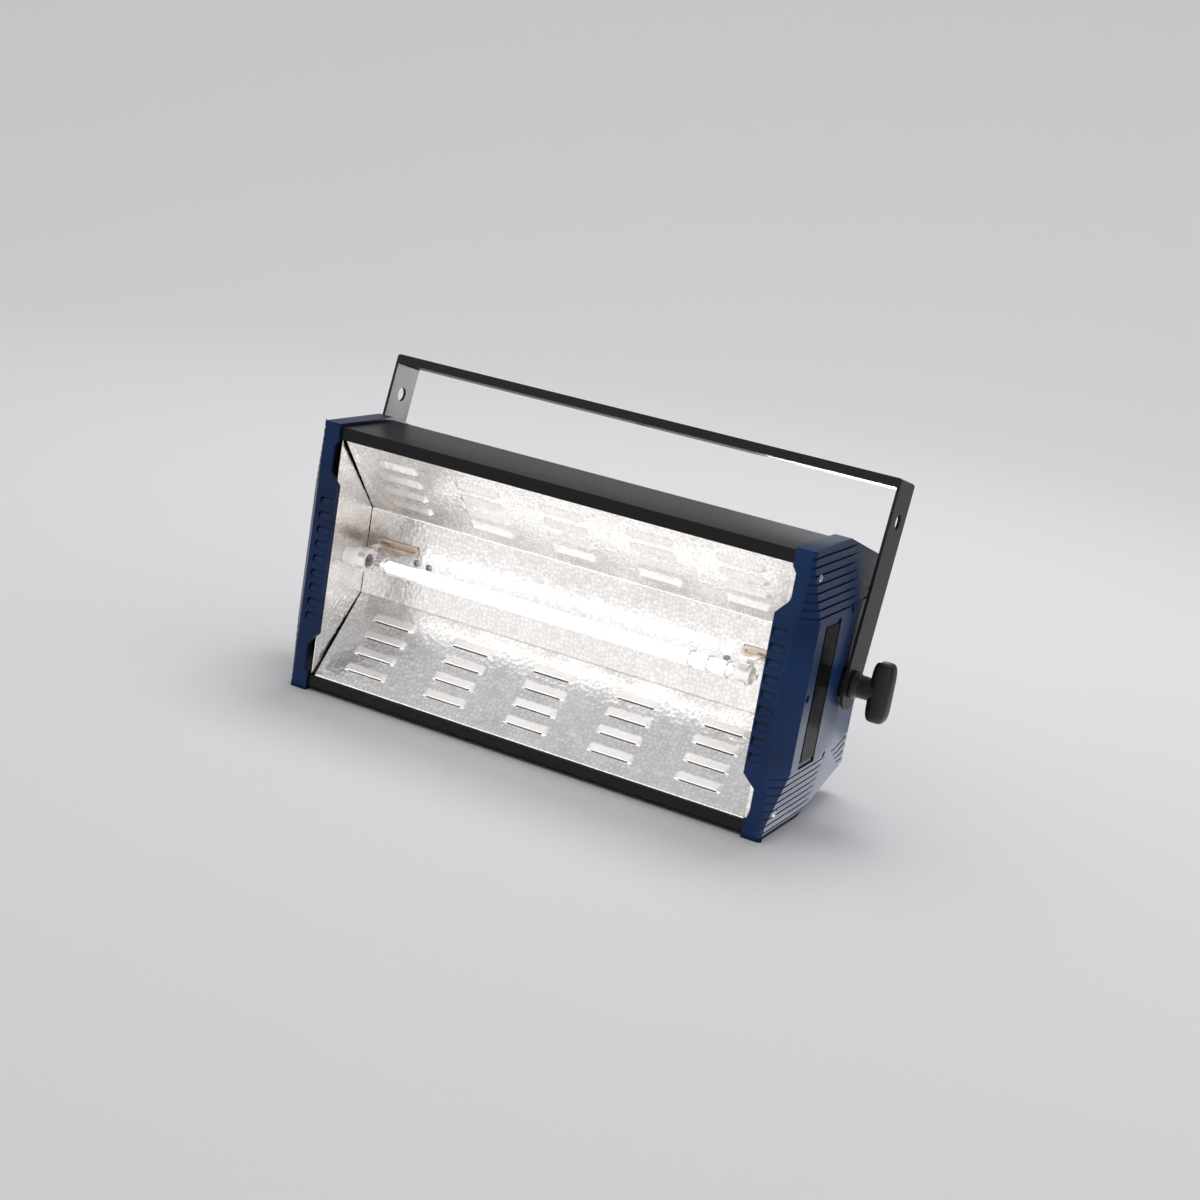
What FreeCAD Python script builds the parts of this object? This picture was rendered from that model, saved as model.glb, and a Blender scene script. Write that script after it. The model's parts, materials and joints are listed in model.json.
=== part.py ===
import FreeCAD, Part
import math
import os

# A mains xenon stroboscope: a long flash lamp in a louvred reflector, held in a
# black sheet-steel housing between two ribbed plastic end caps, which hangs in a
# U-shaped yoke with two clamp knobs. Everything is drawn with the lamp's axis
# along X, the front plane of the end caps at y = 0 and mid-height at z = 0. The
# finished pieces are then moved so that the origin is the middle of the base.

V = FreeCAD.Vector

# ---- driving dimensions, in millimetres and degrees ----

# housing envelope, measured on the rims of the end caps
rim_width = 425.0
body_height = 224.0
body_depth = 163.0
flat_depth = 77.0
taper_rise = 0.30

# end caps
cap_wall = 3.0
cap_proud = 2.5
dome_height = 10.5
dome_front_depth = 13.0
dome_rear_depth = 68.0
dome_side_depth = 54.0
strip_width = 14.0
strip_thickness = 2.9
waist_width = 10.5
waist_low_drop = 39.0
waist_high_drop = 19.0
waist_step = 5.0
tongue_width = 20.0
tongue_drop = 50.0
tongue_proud = 3.0
notch_count = 9
notch_pitch = 12.1
notch_height = 6.6
notch_inset = 1.5
notch_reach = 13.5
notch_corner = 1.8
notch_upper_depth = 2.4
notch_lower_depth = 0.6
rib_count = 8
rib_pitch = 6.3
rib_first_drop = 6.0
rib_groove_width = 1.5
rib_groove_depth = 1.3
rib_band_depth = 0.6
badge_front = 31.5
badge_width = 27.5
badge_height = 106.0
badge_thickness = 0.8
badge_drop = 1.0
badge_frame_margin = 4.0
badge_frame_depth = 1.2
rib_screw_depth = 14.0
rib_screw_drop = 21.0
screw_head_radius = 3.2
screw_head_height = 1.8
deep_screw_hole_radius = 3.1
deep_screw_front_depth = 18.0
deep_screw_rear_depth = 83.0
deep_screw_drop = 53.5
deep_screw_floor = 5.0
deep_screw_sleeve = 1.5

# sheet-steel housing
sheet = 1.2
bar_height = 10.4
bar_lip = 8.0
rear_flange = 9.0
side_frame_setback = 9.5
side_frame_thickness = 1.5
vent_slot_length = 26.0
vent_slot_width = 3.5
vent_slot_pitch = 40.0
vent_slot_count = 7
vent_row_pitch = 16.0
vent_first_row = 32.0

# reflector
reflector_sheet = 1.0
reflector_front = 5.0
reflector_depth = 62.0
reflector_back_half = 37.0
end_wall_gap = 5.7
panel_front_gap = 4.0
panel_back_gap = 0.6
louvre_columns = 5
louvre_rows = 4
louvre_pitch_x = 76.0
louvre_pitch_slope = 16.4
louvre_first_row = 17.0
louvre_length = 35.0
louvre_width = 6.4
louvre_rise = 2.6
louvre_wall = 0.8
louvre_facets = 2

# lamp
lamp_depth = 33.0
lamp_radius = 6.0
lamp_wall = 1.0
lamp_end_wall = 2.0
lamp_left_gap = 0.3
lamp_right_gap = 25.8
left_cap_length = 22.0
left_cap_wall = 3.0
left_collar_length = 10.0
left_collar_wall = 1.4
right_cap_length = 12.0
right_cap_wall = 0.9
right_pin_length = 4.0
left_electrode_length = 14.0
right_electrode_length = 44.0
electrode_coil_length = 8.0
electrode_radius = 2.2
electrode_stem_radius = 0.8
trigger_wire_radius = 0.4
trigger_wire_gap = 0.05
trigger_ring_count = 3
trigger_ring_pitch = 15.5
trigger_ring_width = 2.0
trigger_ring_wall = 1.2
clip_width = 6.0
clip_thickness = 1.0
clip_opening = 8.0
insulator_back = 68.0
left_slot_inset = 31.1
left_slot_length = 38.0
right_slot_inset = 34.3
right_slot_length = 26.0
slot_width = 6.5
slot_height = 10.0
insulator_wall = 1.8
insulator_flange = 2.0

# yoke and its pivots
pivot_depth = 100.0
pivot_height = -3.0
yoke_lean = 13.0
yoke_bar = 2.5
yoke_width = 36.0
yoke_swing_gap = 0.8
yoke_fold_height = 7.4
yoke_tail = 2.3
yoke_bend_radius = 2.5
yoke_inner_radius = 1.0
arm_hole_radius = 6.0
arm_hole_reach = 128.4
clamp_hole_radius = 6.5
stud_radius = 5.0
stud_inner_reach = 13.0
boss_radius = 17.0
boss_recess = 1.5
boss_sleeve_wall = 3.6
washer_thickness = 4.2
washer_radius = 12.0
washer_teeth = 24
washer_tooth_depth = 0.9
nut_radius = 9.5
nut_height = 8.0

# clamp knobs
hub_radius = 9.0
hub_flange_radius = 11.0
hub_flange_height = 4.0
tee_centre = 23.0
tee_length = 49.0
tee_width = 18.0
tee_chamfer = 4.5

# fan
fan_inset = 141.0
fan_z = 0.0
fan_size = 80.0
fan_depth = 25.0
fan_bore_radius = 38.0
fan_hub_radius = 16.0
fan_blade_count = 7
fan_blade_thickness = 1.6
fan_blade_width = 15.0
fan_blade_angle = 38.0
fan_tip_gap = 1.5
fan_axial_gap = 1.0
fan_shaft_radius = 1.5
fan_shaft_floor = 1.0
fan_strut_width = 4.0
fan_rim = 1.0
fan_screw_inset = 4.5
fan_screw_radius = 2.0
fan_screw_length = 21.0
grille_slot_width = 4.5
grille_slot_pitch = 8.0
grille_slot_count = 9

# the other fittings of the rear panel
column_inset = 35.0
column_pitch = 44.0
control_row_z = 34.0
jack_row_z = -10.0
lower_row_z = -54.0
control_body_half = 10.0
control_body_depth = 14.0
control_neck_wall = 1.0
control_neck_proud = 3.0
control_shaft_radius = 3.0
control_shaft_reach = 4.0
dial_knob_radius = 11.0
dial_knob_height = 13.0
dial_flute_count = 12
dial_flute_depth = 1.1
jack_bore_radius = 3.2
jack_wall = 1.3
jack_nut_radius = 6.5
jack_body_half = 6.5
jack_nut_thickness = 2.0
jack_neck_proud = 3.0
jack_body_depth = 24.0
jack_floor = 3.0
fuse_body_radius = 7.0
fuse_body_depth = 26.0
fuse_floor = 2.0
fuse_flange_width = 2.5
fuse_flange_thickness = 2.0
fuse_cap_radius = 7.0
fuse_cap_height = 5.0
fuse_coin_slot_width = 1.6
fuse_coin_slot_depth = 1.5
fuse_plug_radius = 5.0
fuse_plug_depth = 6.0
fuse_link_radius = 2.5
fuse_link_length = 16.0
gland_bore_radius = 5.0
gland_thread_radius = 8.0
gland_thread_inside = 8.0
gland_hex_radius = 13.0
gland_nut_thickness = 5.0
gland_collar_height = 6.0
gland_dome_height = 12.0
gland_dome_radius = 11.2
gland_lip_wall = 2.0

# electronics behind the reflector
board_thickness = 1.6
board_depth = 74.0
board_half_height = 66.0
power_board_inset = 53.0
power_board_length = 200.0
trigger_board_inset = 23.0
trigger_board_length = 70.0
standoff_radius = 3.0
standoff_inset = 8.0
standoff_edge = 5.0
capacitor_radius = 16.0
capacitor_length = 52.0
capacitor_pitch = 37.0
capacitor_count = 4
capacitor_inset = 20.0
choke_outer_radius = 24.0
choke_section = 18.0
choke_height = 22.0
choke_inset = 4.0
choke_rise = 2.0
heatsink_length = 110.0
heatsink_width = 42.0
heatsink_base = 5.0
heatsink_height = 32.0
heatsink_inset = 10.0
heatsink_edge = 4.0
heatsink_fin_count = 7
heatsink_fin_thickness = 1.5
coil_size = 34.0
coil_height = 28.0
coil_corner = 4.0
coil_neck_radius = 6.0
coil_neck_height = 8.0
control_board_side = 16.0
control_board_below = 18.0
control_board_above = 24.0

# how many flat sides stand in for a circle: on cans, on small round pieces, on screws
can_sides = 16
small_sides = 12
screw_sides = 6

# the share of its width by which a slot's corners are cut off
slot_corner_share = 0.29

# fits: a turning pin, a clear hole, and the air between separate pieces
running_gap = 0.06
clear_gap = 0.4
part_gap = 0.3

# how far a cutter runs past the face that it opens, and the reach of the large ones
over = 1.0
far = 400.0

# ---- sizes that follow from them ----

half_rim = rim_width / 2
half_height = body_height / 2
taper_run = math.sqrt(1 + taper_rise ** 2)
plateau_x = half_rim + dome_height
opening_half = half_height - cap_proud - bar_height
waist_low = half_height - waist_low_drop
waist_high = half_height - waist_high_drop
tongue_half_height = half_height - tongue_drop
rib_first_height = half_height - rib_first_drop
rib_screw_height = half_height - rib_screw_drop
deep_screw_height = half_height - deep_screw_drop
side_frame_x = half_rim - side_frame_setback
end_wall_x = side_frame_x - end_wall_gap
housing_half_length = half_rim - cap_wall - part_gap
frame_outer_x = side_frame_x + side_frame_thickness
boss_face_x = plateau_x - boss_recess
arm_inner_x = boss_face_x + washer_thickness + part_gap
yoke_half_span = arm_inner_x + yoke_bar
stud_inner_end = side_frame_x - stud_inner_reach
panel_outer_y = body_depth - cap_proud - sheet
panel_inner_y = panel_outer_y - sheet
reflector_rear = reflector_depth + reflector_sheet
panel_run = reflector_depth - reflector_front
panel_drop = opening_half - reflector_back_half
panel_length = math.hypot(panel_run, panel_drop)
lamp_left_end = end_wall_x - lamp_left_gap
lamp_right_end = end_wall_x - lamp_right_gap
left_cap_radius = lamp_radius + left_cap_wall
right_cap_radius = lamp_radius + right_cap_wall
left_slot_centre = end_wall_x - left_slot_inset
right_slot_centre = end_wall_x - right_slot_inset
glass_left = -lamp_left_end + left_cap_length / 2
glass_right = lamp_right_end - right_cap_length / 2
swing_radius = math.hypot(pivot_depth, half_height - pivot_height)
yoke_underside = swing_radius + yoke_swing_gap
yoke_reach = yoke_underside + yoke_fold_height
board_back = board_depth + board_thickness
fan_front = panel_inner_y - fan_depth
fan_x = side_frame_x - fan_inset
left_column_x = column_inset - side_frame_x
right_column_x = left_column_x + column_pitch
power_board_left = power_board_inset - side_frame_x
power_board_right = power_board_left + power_board_length
trigger_board_right = side_frame_x - trigger_board_inset
trigger_board_left = trigger_board_right - trigger_board_length


# ---- building blocks ----

def face_of(points):
    return Part.Face(Part.makePolygon(points + points[:1]))


def prism_x(points, x0, x1):
    """A prism along X over a closed outline of (y, z) points."""
    return face_of([V(x0, y, z) for y, z in points]).extrude(V(x1 - x0, 0, 0))


def prism_y(points, y0, y1):
    """A prism along Y over a closed outline of (x, z) points."""
    return face_of([V(x, y0, z) for x, z in points]).extrude(V(0, y1 - y0, 0))


def prism_z(points, z0, z1):
    """A prism along Z over a closed outline of (x, y) points."""
    return face_of([V(x, y, z0) for x, y in points]).extrude(V(0, 0, z1 - z0))


def block(x0, x1, y0, y1, z0, z1):
    return Part.makeBox(x1 - x0, y1 - y0, z1 - z0, V(x0, y0, z0))


def rod_x(x0, x1, y, z, radius):
    return Part.makeCylinder(radius, x1 - x0, V(x0, y, z), V(1, 0, 0))


def rod_y(x, z, y0, y1, radius):
    return Part.makeCylinder(radius, y1 - y0, V(x, y0, z), V(0, 1, 0))


def tube_x(x0, x1, y, z, outer, inner):
    return rod_x(x0, x1, y, z, outer).cut(rod_x(x0, x1, y, z, inner))


def ringed(across, up, radius, sides):
    """Corner points of a regular outline round a centre, with this radius to its corners."""
    turns = [2 * math.pi * (step + 0.5) / sides for step in range(sides)]
    return [(across + radius * math.cos(turn), up + radius * math.sin(turn)) for turn in turns]


def panel_hole(x, z, radius, sides):
    """Cutter for a hole through the rear panel, with this many sides."""
    return prism_y(ringed(x, z, radius, sides), panel_inner_y - over, panel_outer_y + over)


def cut_bar(length, width):
    """Outline of a bar centred on (0, 0), with its four corners cut off."""
    cut = width * slot_corner_share
    x = length / 2
    z = width / 2
    return [(x, z - cut), (x - cut, z), (cut - x, z), (-x, z - cut),
            (-x, cut - z), (cut - x, -z), (x - cut, -z), (x, cut - z)]


def tapered_y(x, z, y0, radius0, y1, radius1):
    """A many-sided cone along Y that narrows from one radius to the other."""
    ends = []
    for y, radius in ((y0, radius0), (y1, radius1)):
        points = [V(px, y, pz) for px, pz in ringed(x, z, radius, small_sides)]
        ends.append(Part.makePolygon(points + points[:1]))
    return Part.makeLoft(ends, True, True)


def slot_y(x, z, y0, y1, length, width):
    """A slot along X with cut corners, cut or built along Y."""
    return prism_y([(x + dx, z + dz) for dx, dz in cut_bar(length, width)], y0, y1)


def toothed(count, outer, depth):
    """Outline round (0, 0) with this many teeth of this depth, cut in from outer."""
    points = []
    for step in range(2 * count):
        turn = math.pi * step / count
        radius = outer - depth * (step % 2)
        points.append((radius * math.cos(turn), radius * math.sin(turn)))
    return points


def moved(points, across, up):
    return [(x + across, z + up) for x, z in points]


def hexagon(across, up, radius):
    return ringed(across, up, radius, 6)


def mirror_left(shape):
    return shape.mirror(V(0, 0, 0), V(1, 0, 0))


def upside_down(shape):
    return shape.mirror(V(0, 0, 0), V(0, 0, 1))


def side_outline(inset, front):
    """Side view of the housing moved inwards by inset, starting at y = front.

    The top and bottom run level to flat_depth and then close in by taper_rise
    for every millimetre of depth, down to the upright back.
    """
    top = half_height - inset
    knee = flat_depth + inset * (1 - taper_run) / taper_rise
    back = body_depth - inset
    back_top = top - taper_rise * (back - knee)
    upper = [(front, top), (knee, top), (back, back_top)]
    return upper + [(y, -z) for y, z in reversed(upper)]


def offset_line(points, distance):
    """Points of an open line moved sideways by distance, with mitred corners."""
    line = []
    for index, (y, z) in enumerate(points):
        normals = []
        for first, second in ((index - 1, index), (index, index + 1)):
            if first >= 0 and second < len(points):
                dy = points[second][0] - points[first][0]
                dz = points[second][1] - points[first][1]
                length = math.hypot(dy, dz)
                normals.append((dz / length, -dy / length))
        ny = sum(normal[0] for normal in normals)
        nz = sum(normal[1] for normal in normals)
        scale = distance * len(normals) / (ny * ny + nz * nz)
        line.append((y + ny * scale, z + nz * scale))
    return line


def bent_sheet(points, thickness, x0, x1):
    """Folded sheet along X whose outer skin follows the open line of points."""
    inner = offset_line(points, thickness)
    return prism_x(points + inner[::-1], x0, x1)


# ---- end caps ----

def sloped_side(shape, start, end, rise, rim_x):
    """Cut a cap back to the plane that leaves one edge of its rim at rim_x.

    start and end are (y, z) points of the rim with the cap on their left, and
    the plane stands rise millimetres further out for each millimetre inwards.
    """
    length = math.hypot(end[0] - start[0], end[1] - start[1])
    along = V(0, (end[0] - start[0]) / length, (end[1] - start[1]) / length)
    inward = V(0, -along.z, along.y)
    corner = V(rim_x, start[0], start[1]) - along * far
    outward = V(1, 0, 0)
    low = corner - inward * far - outward * far * rise
    high = corner + inward * far + outward * far * rise
    wedge = face_of([low, high, high + outward * far * 2, low + outward * far * 2])
    return shape.cut(wedge.extrude(along * far * 2))


def domed_block(inset, front, inner_x, shrink):
    """The cap's outer form: a rim that rises by flat slopes to a flat dome."""
    shape = prism_x(side_outline(inset, front), inner_x, plateau_x - shrink)
    side_rise = dome_height / dome_side_depth
    rear_rise = dome_height / dome_rear_depth
    front_rise = dome_height / dome_front_depth
    rises = [side_rise, side_rise, rear_rise, side_rise, side_rise, front_rise]
    outline = side_outline(0, 0)
    for index, rise in enumerate(rises):
        start = outline[(index + 1) % len(outline)]
        shape = sloped_side(shape, start, outline[index], rise, half_rim - shrink)
    return shape


def strip_plate():
    """The cap's front strip, with its two narrow waists and a broad tongue between."""
    base_x = half_rim - strip_width
    waist_x = half_rim - waist_width
    tongue_x = half_rim - tongue_width
    upper = [(base_x, half_height), (base_x, waist_high + waist_step), (waist_x, waist_high),
             (waist_x, waist_low), (tongue_x, tongue_half_height)]
    lower = [(x, -z) for x, z in reversed(upper)]
    outline = upper + lower + [(plateau_x, -half_height), (plateau_x, half_height)]
    plate = prism_y(outline, -tongue_proud, strip_thickness)
    skin = [(0, half_height), (0, waist_low), (-tongue_proud, tongue_half_height)]
    skin += [(y, -z) for y, z in reversed(skin)]
    skin += [(strip_thickness, -half_height), (strip_thickness, half_height)]
    return plate.common(prism_x(skin, tongue_x, plateau_x))


def rib_groove(height):
    """Cutter for one groove, following the front band, the side and the rear slope."""
    side_x = half_rim + dome_height * (half_height - abs(height)) / dome_side_depth
    side_x = min(side_x, plateau_x)
    band_back = (side_x - half_rim) * dome_front_depth / dome_height
    rear_start = body_depth - (side_x - half_rim) * dome_rear_depth / dome_height
    bottom = [(half_rim - rib_band_depth, 0), (side_x - rib_band_depth, band_back),
              (side_x - rib_groove_depth, band_back + rib_groove_depth),
              (side_x - rib_groove_depth, rear_start),
              (half_rim - rib_groove_depth, body_depth)]
    outer = [(plateau_x + dome_height, body_depth), (plateau_x + dome_height, 0)]
    half = rib_groove_width / 2
    return prism_z(bottom + outer, height - half, height + half)


def tongue_notch(height):
    """Cutter for one finger notch in the face of the tongue, deepest along its top."""
    top = height + notch_height / 2
    foot = height - notch_height / 2
    inner = half_rim - tongue_width + notch_inset
    outer = half_rim - tongue_width + notch_reach
    outline = [(inner, top), (outer - notch_corner, top), (outer, top - notch_corner),
               (outer, foot + notch_corner), (outer - notch_corner, foot), (inner, foot)]
    front = -tongue_proud - over
    ramp = [(front, foot), (front, top), (notch_upper_depth - tongue_proud, top),
            (notch_lower_depth - tongue_proud, foot)]
    return prism_y(outline, front, strip_thickness).common(prism_x(ramp, inner - over, outer + over))


def badge_outline(margin):
    """Front, back, bottom and top of the badge, widened by margin."""
    return (badge_front - margin, badge_front + badge_width + margin,
            -badge_drop - badge_height / 2 - margin, -badge_drop + badge_height / 2 + margin)


def deep_screw_places():
    return [(deep_screw_front_depth, 0), (deep_screw_rear_depth, deep_screw_height),
            (deep_screw_rear_depth, -deep_screw_height)]


def rib_screw_seat():
    """How far out the two screws on the ribbed slopes have their seats."""
    slope_x = half_rim + dome_height * (half_height - rib_screw_height) / dome_side_depth
    return slope_x - screw_head_height / 2


def end_cap():
    """The right-hand cap: a thin ribbed moulding that closes the end of the housing."""
    front_top = (0, half_height)
    front_bottom = (0, -half_height)
    strip = sloped_side(strip_plate(), front_top, front_bottom,
                        dome_height / dome_front_depth, half_rim)
    shell = domed_block(0, 0, half_rim - strip_width, 0)
    shell = shell.cut(domed_block(cap_proud, strip_thickness, 0, cap_wall))
    shell = shell.cut(block(0, half_rim - cap_wall, -over, strip_thickness,
                            -half_height, half_height))
    sleeve = rod_x(frame_outer_x, boss_face_x, pivot_depth, pivot_height,
                   stud_radius + clear_gap + boss_sleeve_wall)
    collar = prism_x(ringed(pivot_depth, pivot_height, boss_radius, small_sides),
                     plateau_x - cap_wall - dome_height / 2, boss_face_x)
    added = [strip, sleeve, collar]
    for y, z in deep_screw_places():
        added.append(prism_x(ringed(y, z, deep_screw_hole_radius + deep_screw_sleeve, small_sides),
                             frame_outer_x, plateau_x - cap_wall / 2))
    outside = plateau_x + over
    cutters = [rod_x(boss_face_x, outside, pivot_depth, pivot_height, boss_radius),
               rod_x(0, outside, pivot_depth, pivot_height, stud_radius + clear_gap)]
    for y, z in deep_screw_places():
        cutters.append(rod_x(frame_outer_x + deep_screw_floor, outside, y, z,
                             deep_screw_hole_radius))
    for z in (rib_screw_height, -rib_screw_height):
        cutters.append(rod_x(rib_screw_seat(), outside, rib_screw_depth, z,
                             screw_head_radius + part_gap))
    for index in range(rib_count):
        height = rib_first_height - index * rib_pitch
        cutters += [rib_groove(height), rib_groove(-height)]
    for index in range(notch_count):
        cutters.append(tongue_notch((index - (notch_count - 1) / 2) * notch_pitch))
    y0, y1, z0, z1 = badge_outline(badge_frame_margin)
    cutters.append(block(plateau_x - badge_frame_depth, outside, y0,
                         y1 - badge_frame_margin, z0, z1))
    return shell.fuse(added).cut(cutters).removeSplitter()


def badge_plate():
    """The plain plate that lies in the cap's side recess."""
    y0, y1, z0, z1 = badge_outline(0)
    floor = plateau_x - badge_frame_depth
    return block(floor, floor + badge_thickness, y0, y1, z0, z1)


def cap_screws():
    """The screws that hold one end cap: two on the ribs and three down in the sleeves."""
    seat = rib_screw_seat()
    floor = frame_outer_x + deep_screw_floor
    screws = []
    for z in (rib_screw_height, -rib_screw_height):
        screws.append(rod_x(seat, seat + screw_head_height, rib_screw_depth, z,
                            screw_head_radius))
    for y, z in deep_screw_places():
        screws.append(prism_x(hexagon(y, z, deep_screw_hole_radius - part_gap), floor,
                              floor + screw_head_height))
    return Part.makeCompound(screws)


# ---- housing ----

def cover_line():
    """Outer line of the top cover: lip, front bar, flat, taper and rear flange."""
    outline = side_outline(cap_proud, strip_thickness)
    back_y, back_z = outline[2]
    return [(strip_thickness + bar_lip, opening_half), (strip_thickness, opening_half), outline[0],
            outline[1], (back_y, back_z), (back_y, back_z - rear_flange)]


def top_cover():
    return bent_sheet(cover_line(), sheet, -housing_half_length, housing_half_length)


def bottom_cover():
    """The lower cover, with two rows of cooling slots in its tapered part."""
    slots = []
    for row in range(2):
        y = flat_depth + vent_first_row + row * vent_row_pitch
        level = half_height - cap_proud - taper_rise * (y - flat_depth)
        for index in range(vent_slot_count):
            x = (index - (vent_slot_count - 1) / 2) * vent_slot_pitch
            slot = block(x - vent_slot_length / 2, x + vent_slot_length / 2,
                         -vent_slot_width / 2, vent_slot_width / 2, -3 * sheet, 3 * sheet)
            slot.rotate(V(0, 0, 0), V(1, 0, 0), math.degrees(math.atan(taper_rise)))
            slot.translate(V(0, y, -level))
            slots.append(slot)
    return upside_down(top_cover()).cut(slots)


def side_frame():
    """Steel end plate that ties the covers together and carries one pivot nut."""
    outline = side_outline(cap_proud + sheet, strip_thickness + sheet)
    plate = prism_x(outline, side_frame_x, frame_outer_x)
    cutters = [rod_x(0, plateau_x, pivot_depth, pivot_height, stud_radius + clear_gap)]
    for z in (opening_half, -opening_half - sheet):
        cutters.append(block(0, plateau_x, 0, strip_thickness + bar_lip + part_gap,
                             z - part_gap, z + sheet + part_gap))
    return plate.cut(cutters)


def fan_screw_places():
    reach = fan_size / 2 - fan_screw_inset
    return [(fan_x + sx * reach, fan_z + sz * reach) for sx in (-1, 1) for sz in (-1, 1)]


def rear_panel():
    """Flat back plate with the fan grille and the holes for its fittings."""
    half = side_outline(cap_proud + sheet, 0)[2][1]
    panel = block(-side_frame_x, side_frame_x, panel_inner_y, panel_outer_y, -half, half)
    cutters = [panel_hole(left_column_x, lower_row_z, fuse_body_radius, small_sides),
               panel_hole(right_column_x, lower_row_z, gland_thread_radius, small_sides)]
    for x in (left_column_x, right_column_x):
        cutters.append(panel_hole(x, control_row_z, control_shaft_radius + control_neck_wall,
                                  small_sides))
        cutters.append(panel_hole(x, jack_row_z, jack_bore_radius + jack_wall, small_sides))
    for x, z in fan_screw_places():
        cutters.append(panel_hole(x, z, fan_screw_radius, screw_sides))
    for index in range(grille_slot_count):
        shift = (index - (grille_slot_count - 1) / 2) * grille_slot_pitch
        half_slot = math.sqrt((fan_bore_radius - fan_rim) ** 2 - shift ** 2)
        cutters.append(slot_y(fan_x, fan_z + shift, panel_inner_y - over, panel_outer_y + over,
                              2 * half_slot, grille_slot_width))
    return panel.cut(cutters)


# ---- reflector ----

def panel_frame(shape):
    """Place a shape drawn flat on the top panel.

    X stays along the lamp, +Y becomes the way down the slope to the back and
    +Z becomes the way out of the panel, away from the lamp.
    """
    slope = math.atan2(panel_drop, panel_run)
    shape.rotate(V(0, 0, 0), V(1, 0, 0), -math.degrees(slope))
    shape.translate(V(0, reflector_front, opening_half))
    return shape


def hood_profile(x, y, width, rise, front):
    """A vault along X, round (x, y), drawn flat.

    Its back edge lies on the outside of the sheet. From there it climbs along an
    arc, in flat facets, to the full rise at the front edge, where the arc runs
    level, and the vault goes on level for the length front.
    """
    reach = louvre_length / 2 + over
    drop = rise + reflector_sheet
    radius = (width ** 2 + drop ** 2) / (2 * drop)
    turn = math.asin(width / radius) / louvre_facets
    edge = y - width / 2
    points = []
    for step in range(louvre_facets, -1, -1):
        points.append((edge + radius * math.sin(step * turn),
                       radius * (1 - math.cos(step * turn)) - rise))
    if front > 0:
        points.append((edge - front, -rise))
    points.append((edge - front, reflector_sheet))
    return prism_x(points, x - reach, x + reach)


def louvre(x, y):
    """One pressed louvre, drawn flat with its mouth to the front.

    Returns the hole in the sheet and the hood that stands over it.
    """
    top = -louvre_rise - over
    narrow = louvre_width - 2 * louvre_wall
    outer = prism_z(moved(cut_bar(louvre_length, louvre_width), x, y), top, reflector_sheet)
    inner = prism_z(moved(cut_bar(louvre_length - 2 * louvre_wall, narrow), x, y), top,
                    reflector_sheet)
    half = louvre_length / 2 - louvre_width
    mouth = block(x - half, x + half, y - louvre_width, y, top, reflector_sheet)
    hood = outer.common(hood_profile(x, y, louvre_width, louvre_rise, 0))
    room = hood_profile(x, y, narrow, louvre_rise - louvre_wall, louvre_width)
    void = inner.fuse(mouth).common(room)
    hole = inner.common(block(x - louvre_length, x + louvre_length, y - louvre_width,
                              y + louvre_width, 0, reflector_sheet))
    return hole, hood.cut(void)


def slanted_panel(opens_back):
    """A slanted sheet of the reflector, drawn as the top one, with rows of louvres.

    The louvres' mouths face the front, or the back where opens_back is true.
    """
    front_half = end_wall_x - panel_front_gap
    back_half = end_wall_x - panel_back_gap
    outline = [(-front_half, 0), (front_half, 0), (back_half, panel_length),
               (-back_half, panel_length)]
    blank = panel_frame(prism_z(outline, -2 * reflector_sheet, 4 * reflector_sheet))
    edge_front = reflector_front + reflector_sheet * panel_length / panel_drop
    edge_back = reflector_back_half + reflector_sheet * panel_length / panel_run
    profile = [(reflector_front, opening_half), (edge_front, opening_half),
               (reflector_depth, edge_back), (reflector_depth, reflector_back_half)]
    panel = prism_x(profile, -end_wall_x, end_wall_x).common(blank)
    holes = []
    hoods = []
    for row in range(louvre_rows):
        for column in range(louvre_columns):
            x = (column - (louvre_columns - 1) / 2) * louvre_pitch_x
            y = louvre_first_row + row * louvre_pitch_slope
            pressing = louvre(x, y)
            if opens_back:
                pressing = [shape.mirror(V(0, y, 0), V(0, 1, 0)) for shape in pressing]
            hole, hood = pressing
            holes.append(panel_frame(hole))
            hoods.append(panel_frame(hood))
    return panel.cut(holes).fuse(hoods)


def back_panel():
    """The reflector's flat back, with a slot for each lamp holder."""
    half = reflector_back_half + reflector_sheet * panel_length / panel_run
    panel = block(-end_wall_x, end_wall_x, reflector_depth, reflector_rear, -half, half)
    y0 = reflector_depth - over
    y1 = reflector_rear + over
    left = slot_y(-left_slot_centre, slot_height, y0, y1, left_slot_length, slot_width)
    right = slot_y(right_slot_centre, slot_height, y0, y1, right_slot_length, slot_width)
    return panel.cut([left, right])


def end_wall():
    """Flat right-hand end wall of the reflector."""
    upper = [(reflector_front, opening_half), (reflector_rear, reflector_back_half)]
    outline = upper + [(y, -z) for y, z in reversed(upper)]
    return prism_x(outline, end_wall_x, end_wall_x + reflector_sheet)


# ---- lamp ----

def lamp_tube():
    """The glass envelope, closed at both ends inside the ceramic caps."""
    glass = rod_x(glass_left, glass_right, lamp_depth, 0, lamp_radius)
    return glass.cut(rod_x(glass_left + lamp_end_wall, glass_right - lamp_end_wall, lamp_depth, 0,
                           lamp_radius - lamp_wall))


def electrode(seal, cap_length, length, side):
    """A tungsten stem and coil that reach inwards, by length past the lamp's cap."""
    root = seal + side * lamp_end_wall
    tip = seal + side * (cap_length / 2 + length)
    coil_start = tip - side * electrode_coil_length
    stem = prism_x(ringed(lamp_depth, 0, electrode_stem_radius, screw_sides), root, tip)
    coil = prism_x(ringed(lamp_depth, 0, electrode_radius, small_sides), coil_start, tip)
    return stem.fuse(coil)


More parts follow.
